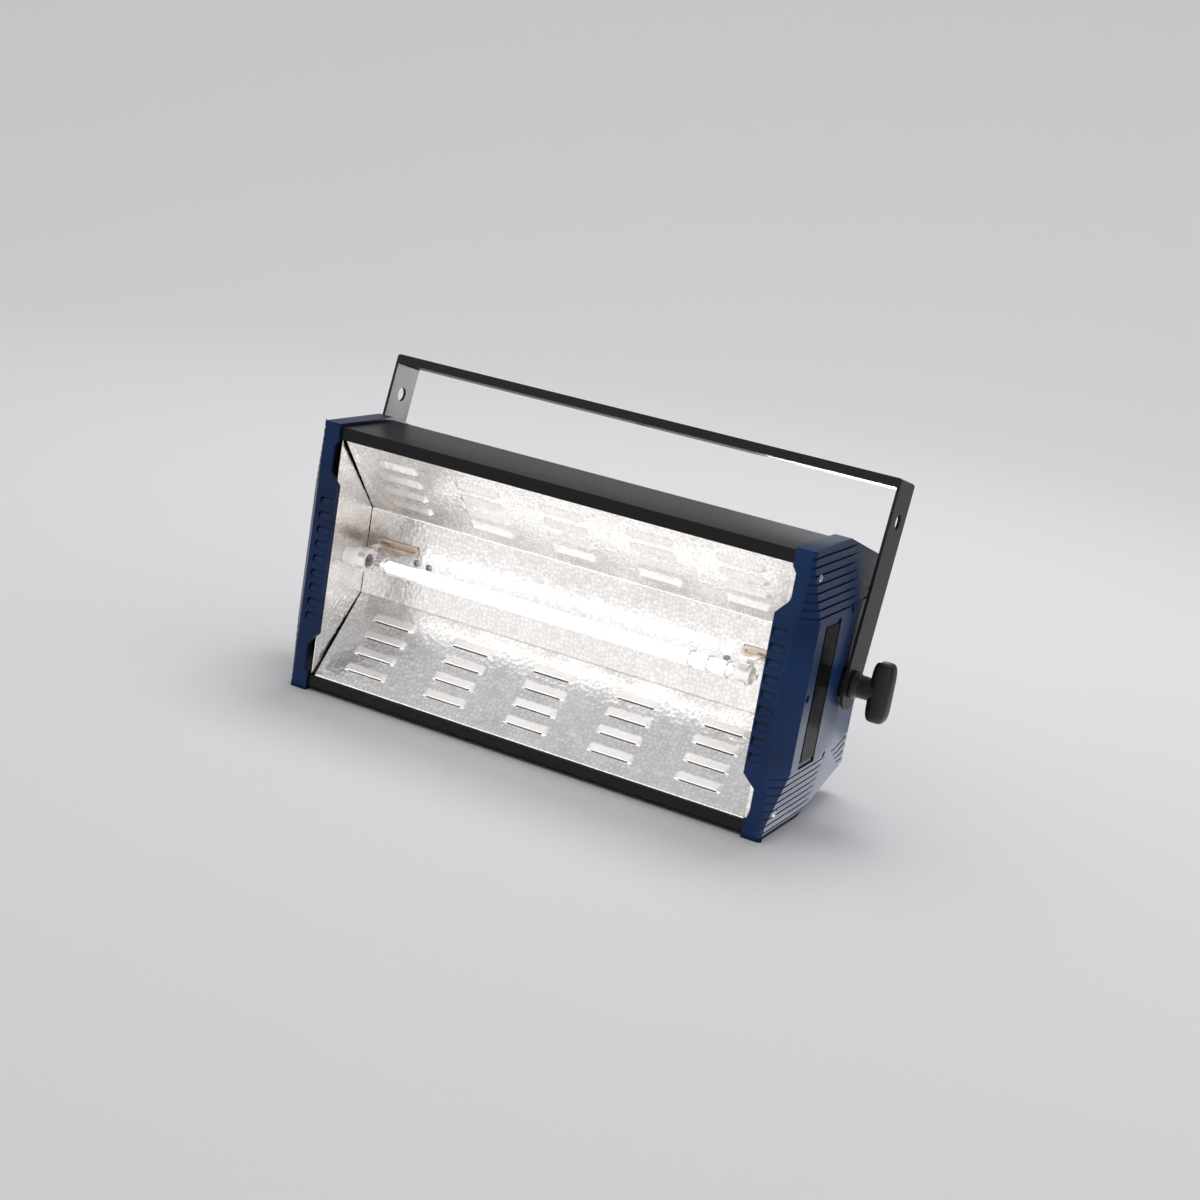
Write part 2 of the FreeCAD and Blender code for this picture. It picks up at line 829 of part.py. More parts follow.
def left_lamp_cap():
    collar_end = -lamp_left_end + left_collar_length
    cap_end = -lamp_left_end + left_cap_length
    collar = rod_x(-lamp_left_end, collar_end, lamp_depth, 0,
                   lamp_radius + left_collar_wall)
    cap = rod_x(collar_end, cap_end, lamp_depth, 0, left_cap_radius)
    return collar.fuse(cap).cut(rod_x(glass_left, cap_end, lamp_depth, 0, lamp_radius))


def right_lamp_cap():
    x0 = lamp_right_end - right_cap_length
    body = rod_x(x0, lamp_right_end, lamp_depth, 0, right_cap_radius)
    pin = rod_x(lamp_right_end, lamp_right_end + right_pin_length, lamp_depth, 0,
                electrode_radius)
    return body.fuse(pin).cut(rod_x(x0, glass_right, lamp_depth, 0, lamp_radius))


def trigger_wire():
    """The trigger electrode: a wire under the glass, held by rings round it."""
    start = -lamp_left_end + left_cap_length + left_electrode_length
    end = lamp_right_end - right_cap_length
    level = -lamp_radius - trigger_wire_gap - trigger_wire_radius
    wire = prism_x(hexagon(lamp_depth, level, trigger_wire_radius), start, end)
    centres = [end - trigger_ring_pitch * (step + 0.5) for step in range(trigger_ring_count)]
    centres.append(start + trigger_ring_width)
    inside = ringed(lamp_depth, 0, lamp_radius / math.cos(math.pi / small_sides), small_sides)
    outside = ringed(lamp_depth, 0, lamp_radius + trigger_ring_wall, small_sides)
    rings = []
    for x in centres:
        x0 = x - trigger_ring_width / 2
        x1 = x + trigger_ring_width / 2
        rings.append(prism_x(outside, x0, x1).cut(prism_x(inside, x0 - over, x1 + over)))
    return wire.fuse(rings)


def lamp_holder(x, cap_radius, slot_centre, slot_length):
    """A sprung strap round one lamp cap, with a tab that bends back to its foot."""
    outer = cap_radius + clip_thickness
    x0 = x - clip_width / 2
    x1 = x + clip_width / 2
    ring = tube_x(x0, x1, lamp_depth, 0, outer, cap_radius)
    mouth = block(x0 - over, x1 + over, lamp_depth - outer - over, lamp_depth,
                  -clip_opening / 2, clip_opening / 2)
    front = lamp_depth + cap_radius
    top = slot_height + clip_thickness / 2
    tab = block(x0, x1, front, front + clip_thickness, 0, top)
    post = block(x0, x1, front, insulator_back, top - clip_thickness, top)
    reach = (slot_length - insulator_wall) / 2
    rise = (slot_width - insulator_wall) / 2
    foot = block(slot_centre - reach, slot_centre + reach, insulator_back,
                 insulator_back + clip_thickness, slot_height - rise, slot_height + rise)
    return ring.cut(mouth).fuse([tab, post, foot])


def insulator(centre, length):
    """Ceramic bush that lines one holder slot, with a thin flange on the front."""
    front = reflector_depth - insulator_flange
    flange = slot_y(centre, slot_height, front, reflector_depth,
                    length + insulator_flange, slot_width + insulator_flange)
    body = slot_y(centre, slot_height, reflector_depth, insulator_back, length, slot_width)
    room = slot_y(centre, slot_height, front - over, insulator_back + over,
                  length - 2 * insulator_wall, slot_width - 2 * insulator_wall)
    return flange.fuse(body).cut(room)


# ---- yoke, pivots and knobs ----

def lean_back(shape):
    shape.rotate(V(0, 0, 0), V(1, 0, 0), -yoke_lean)
    shape.translate(V(0, pivot_depth, pivot_height))
    return shape


def bent_corners(shape, level, radius):
    """Round the two edges along Y at this height, where the bar is bent."""
    edges = [edge for edge in shape.Edges
             if abs(edge.BoundBox.ZMin - level) < 1e-6 and edge.BoundBox.XLength < 1e-6]
    return shape.makeFillet(radius, edges)


def yoke():
    """A steel strap bent into a U, drawn upright round its pivot and leaned back.

    Its top is a shallow tray: a floor whose front and rear edges are folded up.
    """
    half = yoke_width / 2
    outer = block(-yoke_half_span, yoke_half_span, -half, half, -yoke_tail, yoke_reach)
    outer = bent_corners(outer, yoke_reach, yoke_bend_radius)
    inner = block(-arm_inner_x, arm_inner_x, -half - over, half + over, -yoke_reach,
                  yoke_underside)
    inner = bent_corners(inner, yoke_underside, yoke_inner_radius)
    tray = block(-arm_inner_x, arm_inner_x, yoke_bar - half, half - yoke_bar,
                 yoke_underside + yoke_bar, yoke_reach + over)
    ends = rod_x(-yoke_half_span, yoke_half_span, 0, -yoke_tail, half)
    bar = outer.fuse(ends).cut([inner, tray]).removeSplitter()
    side = yoke_half_span + over
    bores = [rod_x(-side, side, 0, 0, stud_radius + running_gap),
             rod_x(-side, side, 0, arm_hole_reach, arm_hole_radius),
             Part.makeCylinder(clamp_hole_radius, yoke_bar + 2 * over,
                               V(0, 0, yoke_underside - over))]
    return lean_back(bar.cut(bores))


def pivot_washer():
    """Serrated friction washer between the cap's boss and the yoke arm."""
    x1 = boss_face_x + washer_thickness
    outline = moved(toothed(washer_teeth, washer_radius, washer_tooth_depth), pivot_depth,
                    pivot_height)
    return prism_x(outline, boss_face_x, x1).cut(
        rod_x(boss_face_x - over, x1 + over, pivot_depth, pivot_height, stud_radius + clear_gap))


def pivot_nut():
    """Weld nut on the inner side of the side frame that takes the knob's stud."""
    nut = prism_x(hexagon(pivot_depth, pivot_height, nut_radius), side_frame_x - nut_height,
                  side_frame_x)
    return nut.cut(rod_x(0, side_frame_x, pivot_depth, pivot_height, stud_radius + running_gap))


def knob_stud():
    return rod_x(stud_inner_end, yoke_half_span + tee_centre, pivot_depth, pivot_height,
                 stud_radius)


def knob_handle():
    """Moulded T-handle: a flanged hub with a bevelled bar across it."""
    seat = yoke_half_span + part_gap
    centre = yoke_half_span + tee_centre
    half = tee_width / 2
    flange = rod_x(seat, seat + hub_flange_height, pivot_depth, pivot_height, hub_flange_radius)
    hub = rod_x(seat, centre, pivot_depth, pivot_height, hub_radius)
    bar = block(centre - half, centre + half, pivot_depth - half, pivot_depth + half,
                pivot_height - tee_length / 2, pivot_height + tee_length / 2)
    bar = bar.makeChamfer(tee_chamfer, bar.Edges)
    return hub.fuse([flange, bar]).removeSplitter().cut(knob_stud())


# ---- fan ----

def fan_frame():
    """Square fan housing with struts that carry the motor at the rear."""
    half = fan_size / 2
    frame = block(fan_x - half, fan_x + half, fan_front, panel_inner_y, fan_z - half,
                  fan_z + half)
    cutters = [rod_y(fan_x, fan_z, fan_front - over, panel_inner_y + over, fan_bore_radius)]
    for x, z in fan_screw_places():
        cutters.append(prism_y(ringed(x, z, fan_screw_radius, screw_sides), fan_front - over,
                               panel_inner_y + over))
    strut_front = panel_inner_y - fan_strut_width
    reach = half - fan_rim
    thin = fan_strut_width / 2
    struts = [block(fan_x - reach, fan_x + reach, strut_front, panel_inner_y, fan_z - thin,
                    fan_z + thin),
              block(fan_x - thin, fan_x + thin, strut_front, panel_inner_y, fan_z - reach,
                    fan_z + reach)]
    motor = prism_y(ringed(fan_x, fan_z, fan_hub_radius, can_sides), strut_front, panel_inner_y)
    bearing = rod_y(fan_x, fan_z, strut_front - over, panel_inner_y - fan_shaft_floor,
                    fan_shaft_radius + running_gap)
    return frame.cut(cutters).fuse([motor] + struts).cut(bearing)


def fan_rotor():
    """Hub, pitched blades and shaft."""
    y0 = fan_front + fan_axial_gap
    y1 = panel_inner_y - fan_strut_width - fan_axial_gap
    tip = fan_bore_radius - fan_tip_gap
    blades = []
    for index in range(fan_blade_count):
        blade = Part.makeBox(tip, fan_blade_width, fan_blade_thickness,
                             V(0, -fan_blade_width / 2, -fan_blade_thickness / 2))
        blade.rotate(V(0, 0, 0), V(1, 0, 0), fan_blade_angle)
        blade.rotate(V(0, 0, 0), V(0, 1, 0), 360.0 * index / fan_blade_count)
        blade.translate(V(fan_x, (y0 + y1) / 2, fan_z))
        blades.append(blade)
    hub = prism_y(ringed(fan_x, fan_z, fan_hub_radius, can_sides), y0, y1)
    swept = hub.fuse(blades).common(rod_y(fan_x, fan_z, y0, y1, tip))
    shaft = rod_y(fan_x, fan_z, y1, panel_inner_y - fan_shaft_floor - part_gap, fan_shaft_radius)
    return swept.fuse(shaft)


def fan_screws():
    screws = []
    for x, z in fan_screw_places():
        head = prism_y(hexagon(x, z, screw_head_radius), panel_outer_y,
                       panel_outer_y + screw_head_height)
        shank = prism_y(ringed(x, z, fan_screw_radius, screw_sides),
                        panel_outer_y - fan_screw_length, panel_outer_y)
        screws.append(head.fuse(shank))
    return Part.makeCompound(screws)


# ---- rear fittings ----

def potentiometer(x):
    """Body and threaded neck of one control, behind and through the panel."""
    body = block(x - control_body_half, x + control_body_half,
                 panel_inner_y - control_body_depth, panel_inner_y,
                 control_row_z - control_body_half, control_row_z + control_body_half)
    outline = ringed(x, control_row_z, control_shaft_radius + control_neck_wall, small_sides)
    neck = prism_y(outline, panel_inner_y, panel_outer_y + control_neck_proud)
    bore = rod_y(x, control_row_z, panel_inner_y - control_shaft_reach - over,
                 panel_outer_y + control_neck_proud + over, control_shaft_radius + running_gap)
    return body.fuse(neck).cut(bore)


def dial_knob(x):
    """Fluted knob with its shaft."""
    y0 = panel_outer_y + control_neck_proud + part_gap
    outline = toothed(dial_flute_count, dial_knob_radius, dial_flute_depth)
    knob = prism_y(moved(outline, x, control_row_z), y0, y0 + dial_knob_height)
    shaft = rod_y(x, control_row_z, panel_inner_y - control_shaft_reach, y0 + over,
                  control_shaft_radius)
    return knob.fuse(shaft)


def jack_socket(x):
    """Round panel socket: a body behind the panel with a ring nut in front."""
    body_front = panel_inner_y - jack_body_depth
    neck_back = panel_outer_y + jack_neck_proud
    body = block(x - jack_body_half, x + jack_body_half, body_front, panel_inner_y,
                 jack_row_z - jack_body_half, jack_row_z + jack_body_half)
    neck = prism_y(ringed(x, jack_row_z, jack_bore_radius + jack_wall, small_sides),
                   panel_inner_y, neck_back)
    nut = prism_y(hexagon(x, jack_row_z, jack_nut_radius), panel_outer_y,
                  panel_outer_y + jack_nut_thickness)
    bore = rod_y(x, jack_row_z, body_front + jack_floor, neck_back + over, jack_bore_radius)
    return body.fuse([neck, nut]).cut(bore)


def fuse_holder():
    """Fuse carrier tube with its flange on the outside of the panel."""
    body_front = panel_inner_y - fuse_body_depth
    flange_back = panel_outer_y + fuse_flange_thickness
    body = prism_y(ringed(left_column_x, lower_row_z, fuse_body_radius, small_sides),
                   body_front, panel_outer_y)
    flange = prism_y(ringed(left_column_x, lower_row_z, fuse_body_radius + fuse_flange_width,
                            small_sides), panel_outer_y, flange_back)
    room = rod_y(left_column_x, lower_row_z, body_front + fuse_floor, flange_back + over,
                 fuse_plug_radius + running_gap)
    return body.fuse(flange).cut(room)


def fuse_cap():
    """Bayonet cap of the fuse holder, slotted for a coin, with the fuse on it."""
    seat = panel_outer_y + fuse_flange_thickness + part_gap
    top = seat + fuse_cap_height
    plug_front = panel_inner_y - fuse_plug_depth
    head = prism_y(ringed(left_column_x, lower_row_z, fuse_cap_radius, small_sides), seat, top)
    plug = rod_y(left_column_x, lower_row_z, plug_front, seat, fuse_plug_radius)
    link = prism_y(ringed(left_column_x, lower_row_z, fuse_link_radius, small_sides),
                   plug_front - fuse_link_length, plug_front)
    slot = block(left_column_x - fuse_cap_radius - over, left_column_x + fuse_cap_radius + over,
                 top - fuse_coin_slot_depth, top + over, lower_row_z - fuse_coin_slot_width / 2,
                 lower_row_z + fuse_coin_slot_width / 2)
    return head.fuse([plug, link]).cut(slot)


def cord_gland():
    """Cable gland without its cord: thread, locking nut and domed clamping nut."""
    thread_front = panel_inner_y - gland_thread_inside
    collar_back = panel_outer_y + gland_collar_height
    dome_back = collar_back + gland_dome_height
    points = hexagon(right_column_x, lower_row_z, gland_hex_radius)
    thread = prism_y(ringed(right_column_x, lower_row_z, gland_thread_radius, small_sides),
                     thread_front, collar_back)
    lock_nut = prism_y(points, panel_inner_y - gland_nut_thickness, panel_inner_y)
    collar = prism_y(points, panel_outer_y, collar_back)
    dome = tapered_y(right_column_x, lower_row_z, collar_back, gland_dome_radius, dome_back,
                     gland_bore_radius + gland_lip_wall)
    bore = rod_y(right_column_x, lower_row_z, thread_front - over, dome_back + over,
                 gland_bore_radius)
    return thread.fuse([lock_nut, collar, dome]).cut(bore)


# ---- electronics ----

def circuit_board(x0, x1, half):
    """Board that stands upright on the posts behind the reflector."""
    return block(x0, x1, board_depth, board_back, -half, half)


def board_standoffs():
    """Four posts for each board, from the reflector's back."""
    posts = []
    for x0, x1 in ((power_board_left, power_board_right),
                   (trigger_board_left, trigger_board_right)):
        for x in (x0 + standoff_inset, x1 - standoff_inset):
            for side in (-1, 1):
                z = side * (reflector_back_half - standoff_edge)
                posts.append(prism_y(hexagon(x, z, standoff_radius), reflector_rear,
                                     board_depth))
    return Part.makeCompound(posts)


def flash_capacitors():
    """Electrolytic cans that stand on the power board with their vents to the back."""
    cans = []
    for index in range(capacitor_count):
        x = power_board_left + capacitor_inset + index * capacitor_pitch
        cans.append(prism_y(ringed(x, 0, capacitor_radius, can_sides), board_back,
                            board_back + capacitor_length))
    return Part.makeCompound(cans)


def mains_choke():
    """Wound ring core that stands on the lower part of the power board."""
    x = power_board_right - choke_outer_radius - choke_inset
    z = -board_half_height + choke_outer_radius + choke_rise
    hole = choke_outer_radius - choke_section
    ring = prism_y(ringed(x, z, choke_outer_radius, can_sides), board_back,
                   board_back + choke_height)
    return ring.cut(prism_y(ringed(x, z, hole, small_sides), board_back,
                            board_back + choke_height))


def heatsink():
    """Finned aluminium block on the upper part of the power board."""
    x0 = power_board_left + heatsink_inset
    x1 = x0 + heatsink_length
    top = board_half_height - heatsink_edge
    fin_front = board_back + heatsink_base
    base = block(x0, x1, board_back, fin_front, top - heatsink_width, top)
    pitch = (heatsink_width - heatsink_fin_thickness) / (heatsink_fin_count - 1)
    fins = []
    for index in range(heatsink_fin_count):
        z = top - index * pitch
        fins.append(block(x0, x1, fin_front, board_back + heatsink_height,
                          z - heatsink_fin_thickness, z))
    return base.fuse(fins)


def trigger_coil():
    """Trigger transformer: a potted block with its high-voltage neck."""
    x = (trigger_board_left + trigger_board_right) / 2
    half = coil_size / 2
    body_back = board_back + coil_height
    body = block(x - half, x + half, board_back, body_back, -half, half)
    upright = [edge for edge in body.Edges if edge.BoundBox.YLength > coil_corner]
    neck = prism_y(ringed(x, 0, coil_neck_radius, small_sides), body_back,
                   body_back + coil_neck_height)
    return body.makeChamfer(coil_corner, upright).fuse(neck)


def control_board():
    """Small board on the backs of the two controls."""
    back = panel_inner_y - control_body_depth
    return block(left_column_x - control_board_side, right_column_x + control_board_side,
                 back - board_thickness, back, control_row_z - control_board_below,
                 control_row_z + control_board_above)


# ---- the whole set ----

def lamp_pieces():
    left_holder_x = -lamp_left_end + left_cap_length - clip_width / 2
    right_holder_x = lamp_right_end - right_cap_length / 2
    return {
        "lamp_tube": lamp_tube(),
        "left_lamp_cap": left_lamp_cap(),
        "right_lamp_cap": right_lamp_cap(),
        "left_electrode": electrode(glass_left, left_cap_length, left_electrode_length, 1),
        "right_electrode": electrode(glass_right, right_cap_length, right_electrode_length, -1),
        "left_lamp_holder": lamp_holder(left_holder_x, left_cap_radius, -left_slot_centre,
                                        left_slot_length),
        "right_lamp_holder": lamp_holder(right_holder_x, right_cap_radius, right_slot_centre,
                                         right_slot_length),
        "left_insulator": insulator(-left_slot_centre, left_slot_length),
        "right_insulator": insulator(right_slot_centre, right_slot_length),
        "trigger_wire": trigger_wire(),
    }


def housing_pieces():
    return {
        "top_cover": top_cover(),
        "bottom_cover": bottom_cover(),
        "rear_panel": rear_panel(),
        "reflector_top": slanted_panel(True),
        "reflector_bottom": upside_down(slanted_panel(False)),
        "reflector_back": back_panel(),
        "yoke": yoke(),
    }


def rear_pieces():
    return {
        "fan_frame": fan_frame(),
        "fan_rotor": fan_rotor(),
        "fan_screws": fan_screws(),
        "rate_control": potentiometer(left_column_x),
        "rate_knob": dial_knob(left_column_x),
        "level_control": potentiometer(right_column_x),
        "level_knob": dial_knob(right_column_x),
        "remote_in_socket": jack_socket(left_column_x),
        "remote_out_socket": jack_socket(right_column_x),
        "fuse_holder": fuse_holder(),
        "fuse_cap": fuse_cap(),
        "cord_gland": cord_gland(),
    }


def electronic_pieces():
    return {
        "board_standoffs": board_standoffs(),
        "power_board": circuit_board(power_board_left, power_board_right, board_half_height),
        "trigger_board": circuit_board(trigger_board_left, trigger_board_right,
                                       reflector_back_half),
        "flash_capacitors": flash_capacitors(),
        "mains_choke": mains_choke(),
        "heatsink": heatsink(),
        "trigger_coil": trigger_coil(),
        "control_board": control_board(),
    }


def paired_pieces():
    """Pieces that the two ends share, drawn on the right and mirrored to the left."""
    right = {
        "end_cap": end_cap(),
        "cap_screws": cap_screws(),
        "badge_plate": badge_plate(),
        "side_frame": side_frame(),
        "reflector_end": end_wall(),
        "pivot_washer": pivot_washer(),
        "pivot_nut": pivot_nut(),
        "clamp_knob": knob_handle(),
        "clamp_stud": knob_stud(),
    }
    pair = {}
    for name, shape in right.items():
        pair["right_" + name] = shape
        pair["left_" + name] = mirror_left(shape)
    return pair


def main():
    pieces = {}
    for group in (housing_pieces(), lamp_pieces(), rear_pieces(), electronic_pieces(),
                  paired_pieces()):
        pieces.update(group)
    bounds = Part.makeCompound(list(pieces.values())).BoundBox
    shift = V(0, -(bounds.YMin + bounds.YMax) / 2, half_height)
    os.makedirs("parts", exist_ok=True)
    for name, shape in pieces.items():
        shape.translate(shift)
        shape.exportStep("parts/" + name + ".step")
        print(name, "solids", len(shape.Solids), "valid", shape.isValid(),
              "volume", round(shape.Volume, 1))
    print("front plane at y =", round(shift.y, 3), "mid-height at z =", round(shift.z, 3))


main()
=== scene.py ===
"""Finishes, fine surfaces, light and camera for a mains xenon stroboscope.

Lengths are millimetres in the maker's frame: X along the lamp, Y from the front
plane of the end caps to the back, Z up from mid-height. They turn into metres in
the frame's own place when a mesh is made.
"""

import json
import math

import bmesh
import bpy
import numpy as np
from mathutils import Matrix, Vector


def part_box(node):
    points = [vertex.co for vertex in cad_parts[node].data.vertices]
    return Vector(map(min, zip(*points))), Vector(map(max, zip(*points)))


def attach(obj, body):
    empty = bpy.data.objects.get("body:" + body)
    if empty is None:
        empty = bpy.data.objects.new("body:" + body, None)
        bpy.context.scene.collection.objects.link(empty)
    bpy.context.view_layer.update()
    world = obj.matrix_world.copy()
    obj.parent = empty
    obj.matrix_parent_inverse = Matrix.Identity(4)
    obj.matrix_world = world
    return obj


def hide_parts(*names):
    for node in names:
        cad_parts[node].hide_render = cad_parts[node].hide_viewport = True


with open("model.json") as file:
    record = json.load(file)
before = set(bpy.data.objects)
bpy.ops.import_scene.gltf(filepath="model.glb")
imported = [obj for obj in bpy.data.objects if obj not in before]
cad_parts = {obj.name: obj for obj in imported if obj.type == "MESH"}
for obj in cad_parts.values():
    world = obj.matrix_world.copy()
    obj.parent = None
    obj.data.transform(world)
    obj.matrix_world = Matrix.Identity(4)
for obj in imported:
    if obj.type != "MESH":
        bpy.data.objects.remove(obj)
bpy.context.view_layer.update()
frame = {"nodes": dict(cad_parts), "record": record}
nodes = frame["nodes"]

# ---- the lamp ----

LAMP_DEPTH = 33.0
GLASS_RADIUS = 5.0
ARC_START, ARC_END = -161.5, 157.5
FROST_DEPTH = 0.3  # from the outside of the glass to the frosted face
ARC_CLOSING = 0.015  # share of the frosted length that rounds off at each end
HOT_END = (-186.0, 48.0, 9.0)

# ---- the reflector ----

MOUTH_Y, MOUTH_HALF = 5.0, 99.1
BACK_Y, BACK_HALF = 62.0, 37.0
END_X = 197.3
LEFT_GAP_FRONT, END_GAP = 2.8, 0.5
SHEET, RIGHT_FLANGE = 0.8, 6.5
SHEARED = 1.4  # most that an end wall's long edge is cut short, at the front
SHEAR_FALL = 0.6  # share of that which is gone at the back
LOUVRE_COLUMNS, LOUVRE_PITCH_X, LOUVRE_LENGTH = 5, 76.0, 41.0
LOUVRE_ROWS, LOUVRE_PITCH, LOUVRE_FIRST = 4, 16.4, 17.0
LOUVRE_WIDTH, LOUVRE_RISE, LOUVRE_END, SLIT_LENGTH = 7.2, 2.3, 4.0, 32.0
HOOD_SHEEN_ABOVE, HOOD_SHEEN_BELOW = 0.4, 1.0  # how strongly each panel's hoods are whitened by painted sheen
WHITENING = 5.0  # the painted sheen on a hood is full from a fifth of its full height
MARK_PITCH, MARK_DEPTH = 3.8, 0.085
SPOT_RANGE = (0.08, 0.92)  # where in its cell a mark lies, as a share of the cell
STEEP_RANGE = (0.6, 1.4)  # how steeply a mark's bowl rises, against the average one
LATTICE_ZERO = 500.0  # place in the lattice of marks where X, Y and Z are zero
STEP = 0.88  # between the points of a hammered grid
GRID_COLUMNS = int(2 * END_X / STEP)

# ---- holders, knobs, screws and dials ----

HOLDER_SLOTS = ((-166.2, 38.0, 6.5), (163.0, 26.0, 6.5))
SLOT_HEIGHT = 10.0
BUSH_WALL = 1.8
PACKING_LAP, PACKING_DEPTH, PACKING_BULGE = 0.4, 0.6, 0.8
PIVOT_Y, PIVOT_Z = 100.0, -3.0
TEE_LENGTH, TEE_WIDTH = 48.0, 17.4
HUB_PROFILE = ((5.1, 0.2), (5.1, 0), (10.2, 0), (10.9, 0.3), (11, 0.9), (11, 3), (10.7, 3.7),
               (10, 4), (9.6, 4.3), (9.2, 5), (9, 6.5), (8.9, 20), (0, 20))
HEAD_RADIUS, HEAD_HEIGHT, HEAD_MARGIN = 3.2, 1.8, 0.15
HEAD_FALL = 0.75  # share of its height that a screw head loses towards its rim
RECESS_DEPTH = 1.1
RIB_SEAT_X, SLEEVE_SEAT_X = 215.7, 209.5
RIB_SCREWS = ((14.0, 91.0), (14.0, -91.0))
SLEEVE_SCREWS = ((18.0, 0.0), (83.0, 58.5), (83.0, -58.5))
REFLECTOR_SCREWS = ((-147.0, 1.0), (-135.0, 0.0), (138.0, -1.0))
POINTER_START, POINTER_MARGIN, POINTER_HALF, POINTER_RISE = 3.0, 1.2, 0.7, 0.35

# ---- finishing ----

WELD_REACH = 2e-6  # metres
EDGE_ANGLE = 32.0  # degrees, past which an edge of a carried-over node is sharp

lamp_low, lamp_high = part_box("lamp_tube")
SHIFT = np.array([0.0, (lamp_low[1] + lamp_high[1]) / 2 * 1000 - LAMP_DEPTH,
                  (lamp_low[2] + lamp_high[2]) / 2 * 1000])
KNOB_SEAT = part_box("right_clamp_knob")[0][0] * 1000
TEE_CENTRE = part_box("right_clamp_knob")[1][0] * 1000 - TEE_WIDTH / 2


# ---- meshes ----

def quads(rows, columns, flipped=False):
    """Corner numbers of the cells of a rows by columns grid of points."""
    corner = np.arange(rows * columns).reshape(rows, columns)
    cells = np.stack([corner[:-1, :-1], corner[:-1, 1:], corner[1:, 1:], corner[1:, :-1]], -1)
    cells = cells.reshape(-1, 4)
    return cells[:, ::-1] if flipped else cells


def weld(mesh, reach, outward=False):
    """Joins points closer than reach, in metres, and turns the faces outwards if asked."""
    work = bmesh.new()
    work.from_mesh(mesh)
    bmesh.ops.remove_doubles(work, verts=work.verts, dist=reach)
    if outward:
        bmesh.ops.recalc_face_normals(work, faces=work.faces)
    work.to_mesh(mesh)
    work.free()


def stand(name, data):
    """Puts an object with this mesh, light or camera into the scene."""
    made = bpy.data.objects.new(name, data)
    bpy.context.scene.collection.objects.link(made)
    return made


def piece(name, parts, body, finish, slot, smooth=40.0, **carried):
    """One mesh object from (points, cells) pairs, with doubles merged at seams and poles.

    Edges sharper than the smooth angle, in degrees, stay sharp. Every further grid of
    values is carried by the points, under the name it is given.
    """
    points = np.concatenate([p.reshape(-1, 3) for p, _ in parts])
    starts = np.cumsum([0] + [p.size // 3 for p, _ in parts])
    cells = np.concatenate([c + start for (_, c), start in zip(parts, starts)])
    mesh = bpy.data.meshes.new(name)
    mesh.vertices.add(len(points))
    mesh.vertices.foreach_set("co", ((points + SHIFT) / 1000).astype(np.float32).ravel())
    mesh.loops.add(cells.size)
    mesh.loops.foreach_set("vertex_index", cells.astype(np.int32).ravel())
    mesh.polygons.add(len(cells))
    mesh.polygons.foreach_set("loop_start", np.arange(0, cells.size, 4, dtype=np.int32))
    mesh.update(calc_edges=True)
    for word, values in carried.items():
        store = mesh.attributes.new(word, "FLOAT", "POINT")
        store.data.foreach_set("value", values.astype(np.float32).ravel())
    weld(mesh, WELD_REACH)
    mesh.validate()
    mesh.polygons.foreach_set("use_smooth", np.ones(len(mesh.polygons), bool))
    mesh.set_sharp_from_angle(angle=math.radians(smooth))
    mesh.materials.append(finish)
    made = stand(name, mesh)
    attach(made, body)
    return made


def axes_round(axis):
    """An axis and the two directions square to it, for shapes that go round it."""
    main = np.array(axis, float)
    first = np.roll(main, 1)
    return main, first, np.cross(main, first)


def turned(profile, steps, origin, axis):
    """A profile of (radius, height) turned round an axis through origin.

    Each point keeps its height along the axis and goes round it at its radius,
    cosine on the first side axis and sine on the second. Rows run from the first
    point of the profile to the last with the outside facing out.
    """
    radius, height = np.array(profile, float).T
    turn = np.linspace(0, 2 * np.pi, steps + 1)
    main, first, second = axes_round(axis)
    points = (np.array(origin, float) + height[:, None, None] * main
              + radius[:, None, None] * (np.cos(turn)[None, :, None] * first
                                         + np.sin(turn)[None, :, None] * second))
    return points, quads(len(profile), steps + 1)


# ---- hammered reflector ----

def hammer_marks(across, along, seed):
    """Height of a hammered face above the bottoms of its marks, and where its ridges are.

    Across and along are places in the lattice of marks.

    Every cell of a square lattice one mark pitch wide holds one mark at a random
    place. The face is a bowl round the nearest mark, whose height grows with the
    squared distance from it. Where two bowls meet, the squared distances blend as
    minus the logarithm of their summed exponentials, which rounds the ridge. With
    softer exponentials, the share of the sum that the largest one lacks is near
    zero in a bowl and a half on a ridge.
    """
    wrap = 256
    spots = np.random.default_rng(seed).uniform(*SPOT_RANGE, (wrap, wrap, 2))
    steepness = np.random.default_rng(seed + 1).uniform(*STEEP_RANGE, (wrap, wrap))
    column = np.floor(across / MARK_PITCH).astype(int)
    row = np.floor(along / MARK_PITCH).astype(int)
    sharpness, softness = 3.0, 0.3
    total, soft_total, largest = (np.zeros_like(across) for _ in range(3))
    for dx in (-1, 0, 1):
        for dy in (-1, 0, 1):
            spot = spots[(column + dx) % wrap, (row + dy) % wrap]
            steep = steepness[(column + dx) % wrap, (row + dy) % wrap]
            gap = ((column + dx + spot[..., 0]) * MARK_PITCH - across) ** 2
            gap += ((row + dy + spot[..., 1]) * MARK_PITCH - along) ** 2
            total += np.exp(-sharpness * steep * gap)
            soft = np.exp(-softness * steep * gap)
            soft_total += soft
            largest = np.maximum(largest, soft)
    height = -np.log(total) / sharpness * MARK_DEPTH / (MARK_PITCH / 2) ** 2
    return height, 1 - largest / soft_total


